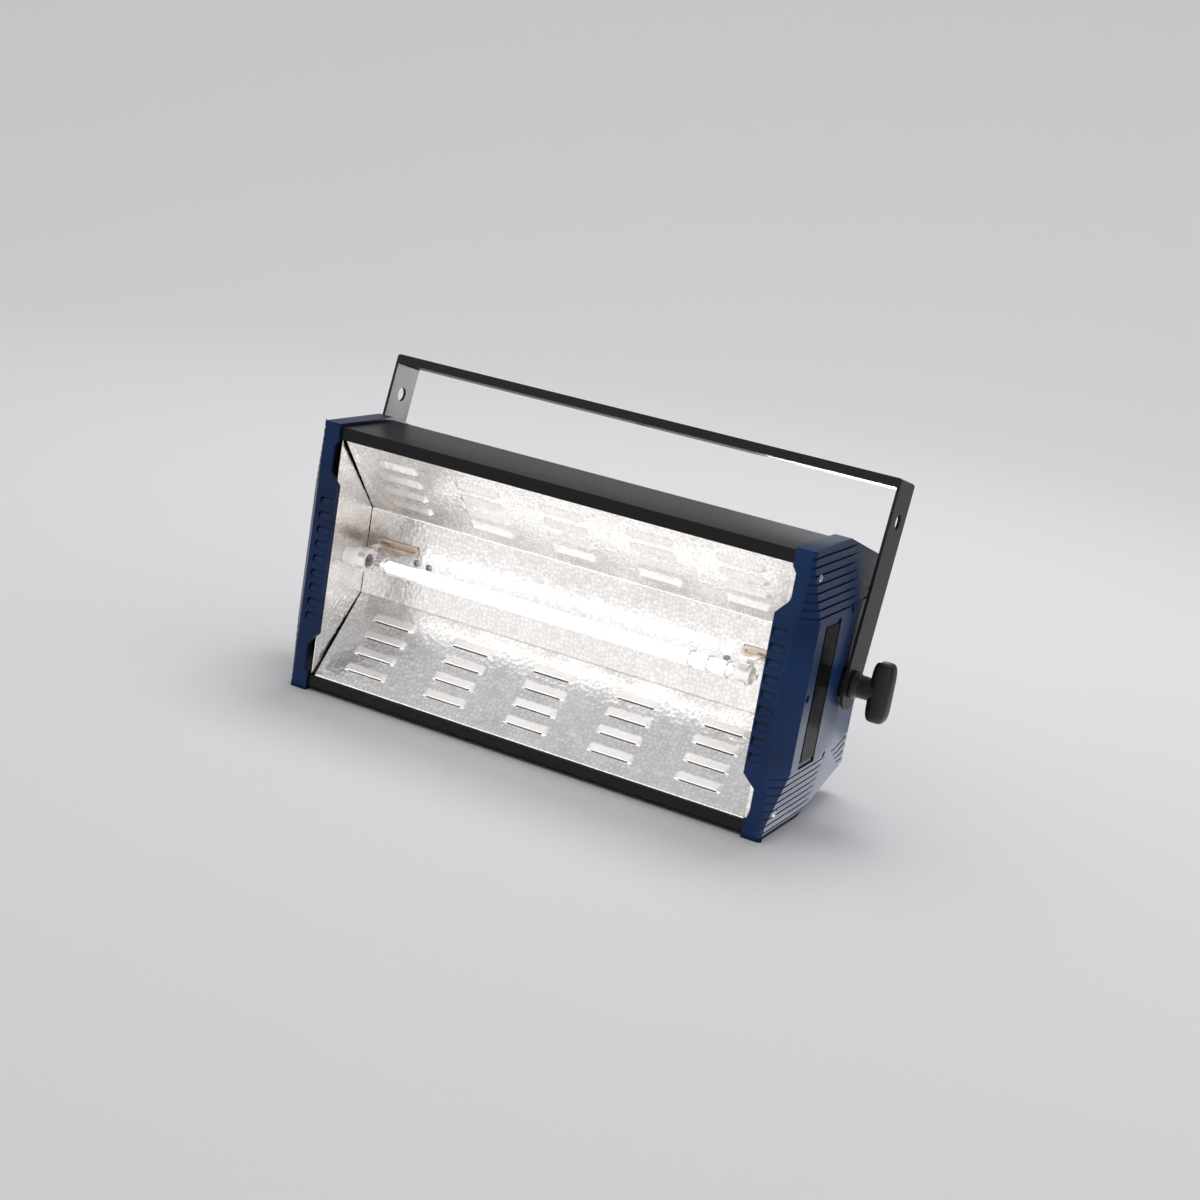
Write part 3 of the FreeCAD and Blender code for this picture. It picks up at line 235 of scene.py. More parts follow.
def louvre_rows(facing):
    """Places down the slope, with the edge of each louvre's mouth in the list twice.

    The mouths lie on the louvres' front edges where facing is -1, on the back ones
    where it is 1.
    """
    length = math.hypot(BACK_Y - MOUTH_Y, MOUTH_HALF - BACK_HALF)
    mouths = [LOUVRE_FIRST + row * LOUVRE_PITCH + facing * LOUVRE_WIDTH / 2
              for row in range(LOUVRE_ROWS)]
    stops = [0.0] + mouths + [length]
    rows = []
    for start, end in zip(stops[:-1], stops[1:]):
        count = max(2, round((end - start) / STEP) + 1)
        rows.append(np.linspace(start, end, count))
    return np.concatenate(rows), np.cumsum([len(r) for r in rows])[:-1], mouths


def slanted_panel(name, node, side, finish, seed):
    """One slanted panel of the reflector, hammered, with its stamped louvres.

    The face runs straight from the mouth's edge to the back's, and is lifted
    towards the lamp by the hammer marks and by the hoods. A hood stands at full
    height on the edge of its mouth and falls to the sheet evenly with the way from
    it, and along its round ends with the cosine from one to zero. The upright
    mouth is left out over the middle of the louvre, which opens the slit. The
    points carry how near they are to a ridge, where the finish paints shade, and
    how strongly the finish paints sheen on the hoods, more on the panel below.
    Side is 1 for the panel above the lamp, -1 for the one below.
    """
    slope, breaks, mouths = louvre_rows(side)
    length = slope[-1]
    share = np.linspace(-1, 1, GRID_COLUMNS)
    left = END_X - LEFT_GAP_FRONT + (LEFT_GAP_FRONT - END_GAP) * slope / length
    right = END_X - END_GAP
    x = (share[None, :] + 1) / 2 * (left[:, None] + right) - left[:, None]
    s = np.broadcast_to(slope[:, None], x.shape)
    marks, ridge = hammer_marks(x + LATTICE_ZERO, s, seed)
    lift, pressed = marks, np.zeros_like(marks)
    outer = (LOUVRE_COLUMNS - 1) / 2
    nearest = np.round(x / LOUVRE_PITCH_X).clip(-outer, outer) * LOUVRE_PITCH_X
    side_gap = np.abs(x - nearest)
    into_end = ((side_gap - LOUVRE_LENGTH / 2 + LOUVRE_END) / LOUVRE_END).clip(0, 1)
    for mouth, first in zip(mouths, breaks):
        away = (side * (mouth - s) / LOUVRE_WIDTH).clip(0, 1)
        hood = LOUVRE_RISE * (1 - away) * (1 + np.cos(np.pi * into_end)) / 2
        beyond = slice(first, None) if side > 0 else slice(0, first)
        hood[beyond] = 0
        lift = lift + hood
        pressed = np.maximum(pressed, (WHITENING * hood / LOUVRE_RISE).clip(0, 1))
    down = np.array([0, BACK_Y - MOUTH_Y, -side * (MOUTH_HALF - BACK_HALF)]) / length
    inward = np.array([0, -(MOUTH_HALF - BACK_HALF), -side * (BACK_Y - MOUTH_Y)]) / length
    start = np.array([0, MOUTH_Y, side * MOUTH_HALF])
    points = start + s[..., None] * down + lift[..., None] * inward
    points[..., 0] = x
    cells = quads(len(slope), GRID_COLUMNS, flipped=side > 0)
    keep = np.ones((len(slope) - 1, GRID_COLUMNS - 1), bool)
    middle = (side_gap[0, :-1] + side_gap[0, 1:]) / 2
    for first in breaks:
        keep[first - 1] = middle > SLIT_LENGTH / 2
    # how strongly this panel's hoods get the painted sheen
    stretch = HOOD_SHEEN_ABOVE if side > 0 else HOOD_SHEEN_BELOW
    made = piece(name, [(points, cells[keep.ravel()])], "housing", finish, "hammered_aluminium",
                 ridge=ridge, pressed=pressed * stretch)
    thicken(made)
    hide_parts(node)


def thicken(made):
    """Gives a hammered face the thickness of its sheet, on the side away from the lamp."""
    wall = made.modifiers.new("sheet", "SOLIDIFY")
    wall.thickness = SHEET / 1000
    wall.offset = -1


def back_panel(finish, seed):
    """The flat back of the reflector, hammered, without the cells over the holder slots."""
    rows = int(2 * BACK_HALF / STEP)
    x, z = np.meshgrid(np.linspace(-END_X, END_X, GRID_COLUMNS),
                       np.linspace(-BACK_HALF, BACK_HALF, rows))
    marks, ridge = hammer_marks(x + LATTICE_ZERO, z + LATTICE_ZERO, seed)
    y = BACK_Y - marks
    cells = quads(rows, GRID_COLUMNS)
    keep = np.ones(len(cells), bool)
    middle_x = x.ravel()[cells].mean(1)
    middle_z = z.ravel()[cells].mean(1)
    for centre, length, width in HOLDER_SLOTS:
        keep &= ((np.abs(middle_x - centre) > (length + STEP) / 2)
                 | (np.abs(middle_z - SLOT_HEIGHT) > (width + STEP) / 2))
    made = piece("hammered_back", [(np.stack([x, y, z], -1), cells[keep])], "housing", finish,
                 "hammered_aluminium", ridge=ridge)
    thicken(made)
    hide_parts("reflector_back")


def end_wall(name, node, side, flange, finish, seed):
    """One upright end wall, hammered, narrowing from the mouth to the back.

    Its long edges are sheared a little short of the panels, by a random amount that
    is less towards the back. Its front edge is folded away from the lamp, flat,
    over the flange's width.
    """
    rows, columns = int((BACK_Y - MOUTH_Y) / STEP), int(2 * MOUTH_HALF / STEP)
    depth, share = np.meshgrid(np.linspace(0, 1, rows), np.linspace(-1, 1, columns),
                               indexing="ij")
    y = MOUTH_Y + (BACK_Y - MOUTH_Y) * depth
    ragged = np.random.default_rng(seed + 7).uniform(0, SHEARED, (rows, 1))
    ragged = ragged * (1 - SHEAR_FALL * depth)
    z = share * (MOUTH_HALF + (BACK_HALF - MOUTH_HALF) * depth - ragged)
    marks, ridge = hammer_marks(y + LATTICE_ZERO, z + LATTICE_ZERO, seed)
    x = side * (END_X - marks)
    if flange:
        rows += 1
        x = np.concatenate([0 * x[:1] + side * (END_X + flange), x])
        y, z, ridge = (np.concatenate([grid[:1], grid]) for grid in (y, z, ridge))
    made = piece(name, [(np.stack([x, y, z], -1), quads(rows, columns, flipped=side < 0))],
                 "housing", finish, "hammered_aluminium", ridge=ridge)
    thicken(made)
    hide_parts(node)


# ---- lamp, knobs and screws ----

def arc_column(finish):
    """The frosted length between the electrodes, as a sleeve just inside the glass.

    Its radius is nearly constant and closes to zero at both ends along a quarter
    of an ellipse.
    """
    run = np.linspace(0, 1, 60)
    near_end = np.minimum(run, 1 - run) / ARC_CLOSING
    radius = (GLASS_RADIUS - FROST_DEPTH) * np.sqrt(1 - (1 - near_end.clip(0, 1)) ** 2)
    height = ARC_START + (ARC_END - ARC_START) * run
    points, cells = turned(np.stack([radius, height], -1), 48, (0, LAMP_DEPTH, 0), (1, 0, 0))
    piece("frosted_arc_length", [(points, cells[:, ::-1])], "housing", finish, "quartz_glass")


def slot_packing(name, slot, finish):
    """Ceramic paper packed into a holder's slot, inside the bush, round the strap.

    Its face bulges towards the lamp, by an amount that falls with the square of
    the way from the middle line and with the eighth power of the way to the ends.
    """
    rows, columns = 12, 80
    centre, length, width = slot
    share, up = np.meshgrid(np.linspace(-1, 1, columns), np.linspace(-1, 1, rows))
    bulge = PACKING_BULGE * (1 - up ** 2) * (1 - share ** 8)
    x = centre + share * (length / 2 - BUSH_WALL + PACKING_LAP)
    z = SLOT_HEIGHT + up * (width / 2 - BUSH_WALL + PACKING_LAP)
    face = np.stack([x, BACK_Y + PACKING_DEPTH - bulge, z], -1)
    piece(name, [(face, quads(rows, columns))], "housing", finish, "insulator_ceramic")


def tee_bar(side):
    """The bar of a T-handle, a block with all its corners rounded.

    It is a sphere stretched to the bar's half sizes, whose cosines and sines are
    raised to a power below one, round the bar and along it, which squares it off.
    """
    rows, columns = 49, 65
    round_power, long_power = 0.6, 0.42
    tilt, turn = np.meshgrid(np.linspace(0, np.pi, rows), np.linspace(0, 2 * np.pi, columns),
                             indexing="ij")

    def power(value, exponent):
        return np.sign(value) * np.abs(value) ** exponent

    ring = TEE_WIDTH / 2 * power(np.sin(tilt), long_power)
    x = side * TEE_CENTRE + ring * power(np.cos(turn), round_power)
    y = PIVOT_Y + ring * power(np.sin(turn), round_power)
    z = PIVOT_Z + TEE_LENGTH / 2 * power(np.cos(tilt), long_power)
    return np.stack([x, y, z], -1), quads(rows, columns, flipped=True)


def clamp_knob(name, node, side, body, finish):
    """Flanged hub turned about X, with the T-bar across its end."""
    seat = (side * KNOB_SEAT, PIVOT_Y, PIVOT_Z)
    hub, cells = turned(HUB_PROFILE, 64, seat, (side, 0, 0))
    made = piece(name, [(hub, cells[:, ::-1]), tee_bar(side)], body, finish, "black_plastic", 50)
    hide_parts(node)


def pan_head(origin, axis):
    """A domed screw head with a cross recess.

    Its height falls from the middle with the cube of the radius. The recess is
    the union of two bars, each sunk by an amount that falls off evenly over its
    edges and its ends, in shares of the head's radius. Two more rings carry the
    rim down to the seat and close it in the middle.
    """
    rings, steps = 22, 72
    bar_half, bar_fade = 0.13, 0.08
    bar_reach, end_fade = 0.52, 0.12
    radius = np.linspace(0, 1, rings)[:, None] * np.ones((1, steps + 1))
    turn = np.linspace(0, 2 * np.pi, steps + 1)[None, :] * np.ones((rings, 1))
    u, v = radius * np.cos(turn), radius * np.sin(turn)

    def bar(along, across):
        edge = (1 - (np.abs(across) - bar_half) / bar_fade).clip(0, 1)
        end = (1 - (np.abs(along) - bar_reach) / end_fade).clip(0, 1)
        return edge * end

    sunk = np.maximum(bar(u, v), bar(v, u))
    height = HEAD_HEIGHT * (1 - HEAD_FALL * radius ** 3) - RECESS_DEPTH * sunk
    u, v = (np.concatenate([grid, grid[-1:], 0 * grid[-1:]]) for grid in (u, v))
    height = np.concatenate([height, 0 * height[-1:], 0 * height[-1:]])
    main, first, second = axes_round(axis)
    points = (np.array(origin, float) + height[..., None] * main
              + (HEAD_RADIUS - HEAD_MARGIN) * (u[..., None] * first + v[..., None] * second))
    return points, quads(rings + 2, steps + 1)


def cap_screw_set(name, node, side, finish):
    """The five screw heads on the outside of one end cap, as one piece."""
    heads = [pan_head((side * RIB_SEAT_X, y, z), (side, 0, 0)) for y, z in RIB_SCREWS]
    heads += [pan_head((side * SLEEVE_SEAT_X, y, z), (side, 0, 0)) for y, z in SLEEVE_SCREWS]
    made = piece(name, heads, "housing", finish, "zinc_screws", 35)
    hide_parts(node)


def reflector_screws(finish):
    """The screw heads on the reflector's back, as one piece."""
    heads = [pan_head((x, BACK_Y, z), (0, -1, 0)) for x, z in REFLECTOR_SCREWS]
    piece("reflector_screws", heads, "housing", finish, "zinc_screws", 35)


def dial_pointer(name, node, body, finish):
    """A white bar set into a dial knob, from near the middle of its face to the rim.

    Its section is a low half ellipse whose crest is level with the face. It narrows
    to a point at both ends, with the root of one less the sixth power of the way
    from its middle.
    """
    rows, columns = 12, 13
    low, high = (np.array(c) * 1000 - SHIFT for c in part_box(node))
    centre_x, centre_z = (low[0] + high[0]) / 2, (low[2] + high[2]) / 2
    run = np.linspace(POINTER_START, (high[2] - low[2]) / 2 - POINTER_MARGIN, rows)
    turn = np.linspace(0, np.pi, columns)
    along, around = np.meshgrid(run, turn, indexing="ij")
    end = np.sqrt((1 - ((along - run.mean()) / (np.ptp(run) / 2)) ** 6).clip(0, 1))
    x = centre_x + POINTER_HALF * np.cos(around) * end
    y = high[1] - POINTER_RISE + POINTER_RISE * np.sin(around) * end
    points = np.stack([x, y, centre_z + along], -1)
    piece(name, [(points, quads(rows, columns, flipped=True))], body, finish, "badge_plate", 60)


# ---- materials ----

def colour(code):
    """Linear RGBA of an sRGB hex code."""
    part = np.array([int(code[i:i + 2], 16) for i in (1, 3, 5)]) / 255
    linear = np.where(part <= 0.04045, part / 12.92, ((part + 0.055) / 1.055) ** 2.4)
    return (*linear.tolist(), 1.0)


def add(tree, kind, inputs=None, ramp=(), family="ShaderNode", **settings):
    """One node: settings go to its properties, and inputs are joined or set.

    A colour ramp also takes the place and the colour of each of its two ends.
    """
    made = tree.nodes.new(family + kind)
    for key, value in settings.items():
        setattr(made, key, value)
    for end, (place, code) in enumerate(ramp):
        made.color_ramp.elements[end].position = place
        made.color_ramp.elements[end].color = colour(code)
    for key, value in (inputs or {}).items():
        if isinstance(value, bpy.types.NodeSocket):
            tree.links.new(value, made.inputs[key])
        else:
            made.inputs[key].default_value = value
    return made


def metres(x, y, z):
    """A place in the maker's frame as metres in the frame's own place."""
    return tuple((np.array([x, y, z]) + SHIFT) / 1000)


def per_mm(size):
    """Texture scale, in cells per metre, of a feature of this size in millimetres."""
    return 1000.0 / size


def finish_material(name, build):
    """A material with one principled shader, whose inputs build returns."""
    made = bpy.data.materials.new(name)
    made.use_nodes = True
    tree = made.node_tree
    tree.nodes.clear()
    place = add(tree, "TexCoord").outputs["Object"]
    shader = add(tree, "BsdfPrincipled", build(tree, place))
    add(tree, "OutputMaterial", {"Surface": shader.outputs[0]})
    return made


def moulded_abs(tree, place):
    """ABS, injection-moulded in navy blue with a fine spark-eroded grain: a satin
    face whose gloss breaks up, a little paler where hands and cases rub it, with
    painted shade in its grooves and notches, darker the more they are closed in."""
    grain = add(tree, "TexNoise", {"Vector": place, "Scale": per_mm(0.7), "Detail": 3.0,
                                   "Roughness": 0.6})
    cloud = add(tree, "TexNoise", {"Vector": place, "Scale": per_mm(60), "Detail": 2.0})
    shade = add(tree, "ValToRGB", {"Fac": cloud.outputs["Fac"]},
                ramp=((0.35, "#0e1e3b"), (0.7, "#11284a")))
    # painted shade: ambient occlusion mixes the grooves and notches towards near-black navy
    hollow = add(tree, "AmbientOcclusion", {"Distance": 0.0035}, samples=8)
    open_face = add(tree, "MapRange", {"Value": hollow.outputs["AO"], "From Min": 0.45,
                                       "From Max": 0.9})
    painted_groove_shade = add(tree, "Mix", {0: open_face.outputs["Result"], 6: colour("#03070f"),
                                7: shade.outputs["Color"]}, data_type="RGBA")
    gloss = add(tree, "MapRange", {"Value": grain.outputs["Fac"], "To Min": 0.3, "To Max": 0.42})
    bump = add(tree, "Bump", {"Height": grain.outputs["Fac"], "Strength": 0.12,
                              "Distance": 0.0002})
    return {"Base Color": painted_groove_shade.outputs[2], "Roughness": gloss.outputs["Result"],
            "IOR": 1.18, "Normal": bump.outputs["Normal"]}


def powder_coat(low, high, roughness, index):
    """Builder for polyester powder coat on steel sheet: an orange-peel skin of soft
    bumps about 1.6 mm apart over a fine speckle."""
    def build(tree, place):
        peel = add(tree, "TexNoise", {"Vector": place, "Scale": per_mm(1.6), "Detail": 2.0})
        speckle = add(tree, "TexNoise", {"Vector": place, "Scale": per_mm(0.5), "Detail": 2.0})
        shade = add(tree, "ValToRGB", {"Fac": speckle.outputs["Fac"]},
                    ramp=((0.3, low), (0.75, high)))
        gloss = add(tree, "MapRange", {"Value": peel.outputs["Fac"], "To Min": roughness - 0.05,
                                       "To Max": roughness + 0.07})
        bump = add(tree, "Bump", {"Height": peel.outputs["Fac"], "Strength": 0.25,
                                  "Distance": 0.0002})
        return {"Base Color": shade.outputs["Color"], "Roughness": gloss.outputs["Result"],
                "IOR": index, "Normal": bump.outputs["Normal"]}
    return build


def bright_aluminium(tree, place):
    """Anodised aluminium sheet, stucco-hammered: a bright mirror broken by the marks,
    with painted shade on the ridges between them, a painted sheen that whitens the
    louvre hoods, and browned by heat at the lamp's left end."""
    haze = add(tree, "TexNoise", {"Vector": place, "Scale": per_mm(45), "Detail": 3.0})
    shade = add(tree, "ValToRGB", {"Fac": haze.outputs["Fac"]},
                ramp=((0.35, "#f1efed"), (0.7, "#f8f7f6")))
    ridge = add(tree, "Attribute", attribute_name="ridge")
    # painted shade: the ridges between the marks are mixed towards grey
    line = add(tree, "MapRange", {"Value": ridge.outputs["Fac"], "From Min": 0.15,
                                  "From Max": 0.5, "To Max": 0.3})
    dull = add(tree, "Mix", {0: line.outputs["Result"], 6: shade.outputs["Color"],
                             7: colour("#a3a3a4")}, data_type="RGBA")
    # painted sheen: the hoods are mixed towards white and made rougher
    pressed = add(tree, "Attribute", attribute_name="pressed").outputs["Fac"]
    whitened = add(tree, "Mix", {0: pressed, 6: dull.outputs[2], 7: colour("#fdfcfa")},
                   data_type="RGBA")
    from_end = add(tree, "VectorMath", {0: place, 1: metres(*HOT_END)}, operation="DISTANCE")
    heat = add(tree, "MapRange", {"Value": from_end.outputs["Value"], "From Min": 0.012,
                                  "From Max": 0.034, "To Min": 0.32, "To Max": 0.0})
    toasted = add(tree, "Mix", {0: heat.outputs["Result"], 6: whitened.outputs[2],
                                7: colour("#94796a")}, data_type="RGBA")
    fine = add(tree, "TexNoise", {"Vector": place, "Scale": per_mm(1.1), "Detail": 2.0})
    gloss = add(tree, "MapRange", {"Value": haze.outputs["Fac"], "To Min": 0.23, "To Max": 0.31})
    rough = add(tree, "Mix", {0: pressed, 2: gloss.outputs["Result"], 3: 0.5})
    bump = add(tree, "Bump", {"Height": fine.outputs["Fac"], "Strength": 0.2,
                              "Distance": 0.00008})
    return {"Base Color": toasted.outputs[2], "Metallic": 1.0,
            "Roughness": rough.outputs[0], "Normal": bump.outputs["Normal"]}


def clear_quartz(tree, place):
    """Fused quartz tube, drawn and flame-polished: water clear with faint draw lines.
    Its thin wall bends light far less than a solid rod would, hence the low index."""
    stretch = add(tree, "Mapping", {"Vector": place, "Scale": (0.05, 1.0, 1.0)})
    lines = add(tree, "TexNoise", {"Vector": stretch.outputs[0], "Scale": per_mm(1.5),
                                   "Detail": 1.0})
    bump = add(tree, "Bump", {"Height": lines.outputs["Fac"], "Strength": 0.05,
                              "Distance": 0.0001})
    return {"Base Color": colour("#fbfcff"), "Roughness": 0.02, "IOR": 1.12,
            "Transmission Weight": 1.0, "Normal": bump.outputs["Normal"]}


def frosted_quartz(tree, place):
    """Acid-frosted quartz round the xenon fill: milky white, with a painted glow, an emission
    that stands in for the studio light on it.
    """
    cloud = add(tree, "TexNoise", {"Vector": place, "Scale": per_mm(9), "Detail": 2.0})
    shade = add(tree, "ValToRGB", {"Fac": cloud.outputs["Fac"]},
                ramp=((0.0, "#f3f3f6"), (1.0, "#ffffff")))
    return {"Base Color": shade.outputs["Color"], "Roughness": 0.4, "IOR": 1.458,
            # painted light: this emission makes the frosted length glow, standing in for studio
            # light on it
            "Emission Color": colour("#fffdf8"), "Emission Strength": 1.2}


def ceramic(low, high, roughness):
    """Builder for fired steatite: a dense matt body with faint clouding and pits."""
    def build(tree, place):
        cloud = add(tree, "TexNoise", {"Vector": place, "Scale": per_mm(5), "Detail": 4.0})
        shade = add(tree, "ValToRGB", {"Fac": cloud.outputs["Fac"]},
                    ramp=((0.3, low), (0.7, high)))
        pits = add(tree, "TexNoise", {"Vector": place, "Scale": per_mm(0.8), "Detail": 3.0})
        bump = add(tree, "Bump", {"Height": pits.outputs["Fac"], "Strength": 0.15,
                                  "Distance": 0.0002})
        return {"Base Color": shade.outputs["Color"], "Roughness": roughness, "IOR": 1.6,
                "Subsurface Weight": 0.1, "Subsurface Radius": (0.002, 0.0018, 0.0015),
                "Normal": bump.outputs["Normal"]}
    return build


def metal(low, high, roughness, streak):
    """Builder for a bare or plated metal with drawing streaks this many times longer
    along X than across, and gloss that varies with them."""
    def build(tree, place):
        stretch = add(tree, "Mapping", {"Vector": place, "Scale": (1 / streak, 1.0, 1.0)})
        lines = add(tree, "TexNoise", {"Vector": stretch.outputs[0], "Scale": per_mm(0.6),
                                       "Detail": 3.0})
        shade = add(tree, "ValToRGB", {"Fac": lines.outputs["Fac"]},
                    ramp=((0.3, low), (0.7, high)))
        gloss = add(tree, "MapRange", {"Value": lines.outputs["Fac"], "To Min": roughness - 0.06,
                                       "To Max": roughness + 0.1})
        bump = add(tree, "Bump", {"Height": lines.outputs["Fac"], "Strength": 0.1,
                                  "Distance": 0.0001})
        return {"Base Color": shade.outputs["Color"], "Metallic": 1.0,
                "Roughness": gloss.outputs["Result"], "Normal": bump.outputs["Normal"]}
    return build


def black_plastic(tree, place):
    """Glass-filled nylon, moulded black: a dull sheen with short fibre marks."""
    fibre = add(tree, "TexNoise", {"Vector": place, "Scale": per_mm(0.9), "Detail": 4.0,
                                   "Roughness": 0.7})
    shade = add(tree, "ValToRGB", {"Fac": fibre.outputs["Fac"]},
                ramp=((0.0, "#080808"), (1.0, "#121213")))
    gloss = add(tree, "MapRange", {"Value": fibre.outputs["Fac"], "To Min": 0.4, "To Max": 0.56})
    bump = add(tree, "Bump", {"Height": fibre.outputs["Fac"], "Strength": 0.15,
                              "Distance": 0.0001})
    return {"Base Color": shade.outputs["Color"], "Roughness": gloss.outputs["Result"],
            "IOR": 1.35, "Normal": bump.outputs["Normal"]}


def badge_enamel(tree, place):
    """Enamelled aluminium plate: deep gloss black over a slightly wavy sheet."""
    wave = add(tree, "TexNoise", {"Vector": place, "Scale": per_mm(14), "Detail": 1.0})
    shade = add(tree, "ValToRGB", {"Fac": wave.outputs["Fac"]},
                ramp=((0.0, "#0b0b0c"), (1.0, "#141311")))
    bump = add(tree, "Bump", {"Height": wave.outputs["Fac"], "Strength": 0.3, "Distance": 0.0004})
    return {"Base Color": shade.outputs["Color"], "Roughness": 0.16, "IOR": 1.05,
            "Normal": bump.outputs["Normal"]}


def circuit_board(tree, place):
    """Glass-epoxy laminate under green solder mask: a weave that shows through, and
    paler copper tracks in right-angled runs."""
    tracks = add(tree, "TexBrick", {"Vector": place, "Scale": per_mm(9), "Mortar Size": 0.04,
                                    "Color1": colour("#12462a"), "Color2": colour("#0f3d25"),
                                    "Mortar": colour("#2f7a49")})
    weave = add(tree, "TexNoise", {"Vector": place, "Scale": per_mm(0.8), "Detail": 2.0})
    bump = add(tree, "Bump", {"Height": weave.outputs["Fac"], "Strength": 0.1,
                              "Distance": 0.0001})
    return {"Base Color": tracks.outputs["Color"], "Roughness": 0.3, "IOR": 1.55,
            "Normal": bump.outputs["Normal"]}


def copper_winding(tree, place):
    """Enamelled copper wire wound round a ring core: orange-brown turns 1.2 mm apart."""
    turns = add(tree, "TexWave", {"Vector": place, "Scale": per_mm(1.2) / 20, "Distortion": 1.0},
                wave_type="BANDS")
    shade = add(tree, "ValToRGB", {"Fac": turns.outputs["Fac"]},
                ramp=((0.0, "#4a1e0c"), (1.0, "#b5642e")))
    bump = add(tree, "Bump", {"Height": turns.outputs["Fac"], "Strength": 0.5,
                              "Distance": 0.0005})
    return {"Base Color": shade.outputs["Color"], "Metallic": 1.0, "Roughness": 0.3,
            "Normal": bump.outputs["Normal"]}


def pointer_paint(tree, place):
    """Hot-stamped white marking on a moulded knob, thin enough for specks to show."""
    speck = add(tree, "TexNoise", {"Vector": place, "Scale": per_mm(0.6), "Detail": 2.0})
    shade = add(tree, "ValToRGB", {"Fac": speck.outputs["Fac"]},
                ramp=((0.0, "#c9c9c6"), (1.0, "#f2f2ee")))
    return {"Base Color": shade.outputs["Color"], "Roughness": 0.5, "IOR": 1.5}


def studio_floor(tree, place):
    """Painted board: matt pale grey with a barely visible roller texture."""
    roll = add(tree, "TexNoise", {"Vector": place, "Scale": per_mm(4), "Detail": 2.0})
    bump = add(tree, "Bump", {"Height": roll.outputs["Fac"], "Strength": 0.03,
                              "Distance": 0.0003})
    return {"Base Color": colour("#e8e8e8"), "Roughness": 0.75, "IOR": 1.45,
            "Specular IOR Level": 0.2, "Normal": bump.outputs["Normal"]}


FINISHES = {
    slot: finish_material(name, build) for slot, name, build in (
        ("blue_abs", "moulded_blue_abs", moulded_abs),
        ("black_steel", "black_powder_coated_steel",
         powder_coat("#070709", "#111113", 0.34, 1.26)),
        ("yoke_steel", "charcoal_powder_coated_steel",
         powder_coat("#141213", "#1f1d1e", 0.36, 1.2)),
        ("hammered_aluminium", "hammered_anodised_aluminium", bright_aluminium),
        ("quartz_glass", "clear_fused_quartz", clear_quartz),
        ("lamp_ceramic", "white_steatite", ceramic("#efece7", "#fbf9f5", 0.45)),
        ("insulator_ceramic", "buff_steatite", ceramic("#d9cbb8", "#efe6d8", 0.55)),
        ("tungsten", "sintered_tungsten", metal("#b0adaa", "#cfccc8", 0.4, 1.0)),
        ("spring_steel", "rolled_spring_steel", metal("#dddbd8", "#f0eeeb", 0.34, 6.0)),
        ("zinc_screws", "zinc_plated_steel", metal("#86878b", "#b0b1b5", 0.28, 1.0)),
        ("black_plastic", "black_glass_filled_nylon", black_plastic),
        ("badge_plate", "black_enamelled_aluminium", badge_enamel),
        ("control_metal", "nickel_plated_brass", metal("#b9b3a8", "#d6d1c7", 0.22, 1.0)),
        ("circuit_board", "green_masked_glass_epoxy", circuit_board),
        ("capacitor_can", "sleeved_aluminium_can", powder_coat("#12141f", "#1c2033", 0.25, 1.5)),
        ("copper_winding", "enamelled_copper_wire", copper_winding),
        ("bare_aluminium", "extruded_aluminium", metal("#a9abae", "#c7c9cc", 0.35, 12.0)),
        ("potting_resin", "cast_black_epoxy", black_plastic),
    )
}
FROSTED = finish_material("acid_frosted_quartz", frosted_quartz)
POINTER = finish_material("hot_stamped_white", pointer_paint)
TOASTED = finish_material("heat_browned_steatite", ceramic("#ab9484", "#cdbcab", 0.55))
FLOOR = finish_material("painted_studio_board", studio_floor)


# ---- finishing of the carried-over nodes ----

def softening(name):
    """A group that welds the loose triangles of a node and smooths all but sharp edges."""
    group = bpy.data.node_groups.new(name, "GeometryNodeTree")
    for way in ("INPUT", "OUTPUT"):
        group.interface.new_socket("Geometry", in_out=way, socket_type="NodeSocketGeometry")
    start = add(group, "NodeGroupInput", family="")
    welded = add(group, "MergeByDistance", {0: start.outputs[0], "Distance": WELD_REACH},
                 family="GeometryNode")
    smooth = add(group, "SetShadeSmooth", {0: welded.outputs[0]}, family="GeometryNode")
    angle = add(group, "InputMeshEdgeAngle", family="GeometryNode")
    above = add(group, "Compare", {0: angle.outputs["Unsigned Angle"],
                                   1: math.radians(EDGE_ANGLE)}, family="FunctionNode")
    sharp = add(group, "SetShadeSmooth", {0: smooth.outputs[0], "Selection": above.outputs[0],
                                          "Shade Smooth": False},
                family="GeometryNode", domain="EDGE")
    add(group, "NodeGroupOutput", {0: sharp.outputs[0]}, family="")
    return group


WELDED = softening("welded_and_smoothed")
EDGE_RADII = {
    "left_end_cap": 0.45, "right_end_cap": 0.45, "yoke": 0.5, "top_cover": 0.35,
    "bottom_cover": 0.35, "rear_panel": 0.2, "left_lamp_cap": 0.8, "right_lamp_cap": 0.5,
    "left_insulator": 0.4, "right_insulator": 0.4, "rate_knob": 0.4, "level_knob": 0.4,
    "fan_frame": 0.4, "cord_gland": 0.4, "fuse_cap": 0.4, "fuse_holder": 0.3,
    "left_pivot_washer": 0.15, "right_pivot_washer": 0.15, "left_badge_plate": 0.2,
    "right_badge_plate": 0.2,
}


def finish_nodes():
    """Gives every carried-over node its material, and the ones in view soft edges."""
    for entry in frame["record"]["subparts"]:
        made = nodes[entry["node"]]
        if not made.material_slots:
            made.data.materials.append(None)
        for place in made.material_slots:
            place.material = FINISHES[entry["material_slot"]]
    nodes["left_insulator"].material_slots[0].material = TOASTED
    for name, made in nodes.items():
        made.modifiers.new("welded", "NODES").node_group = WELDED
        if name in EDGE_RADII:
            soft = made.modifiers.new("edges", "BEVEL")
            soft.width = EDGE_RADII[name] / 1000
            soft.segments = 2
            soft.limit_method = "ANGLE"
            soft.angle_limit = math.radians(EDGE_ANGLE)
            soft.harden_normals = True


# ---- studio ----

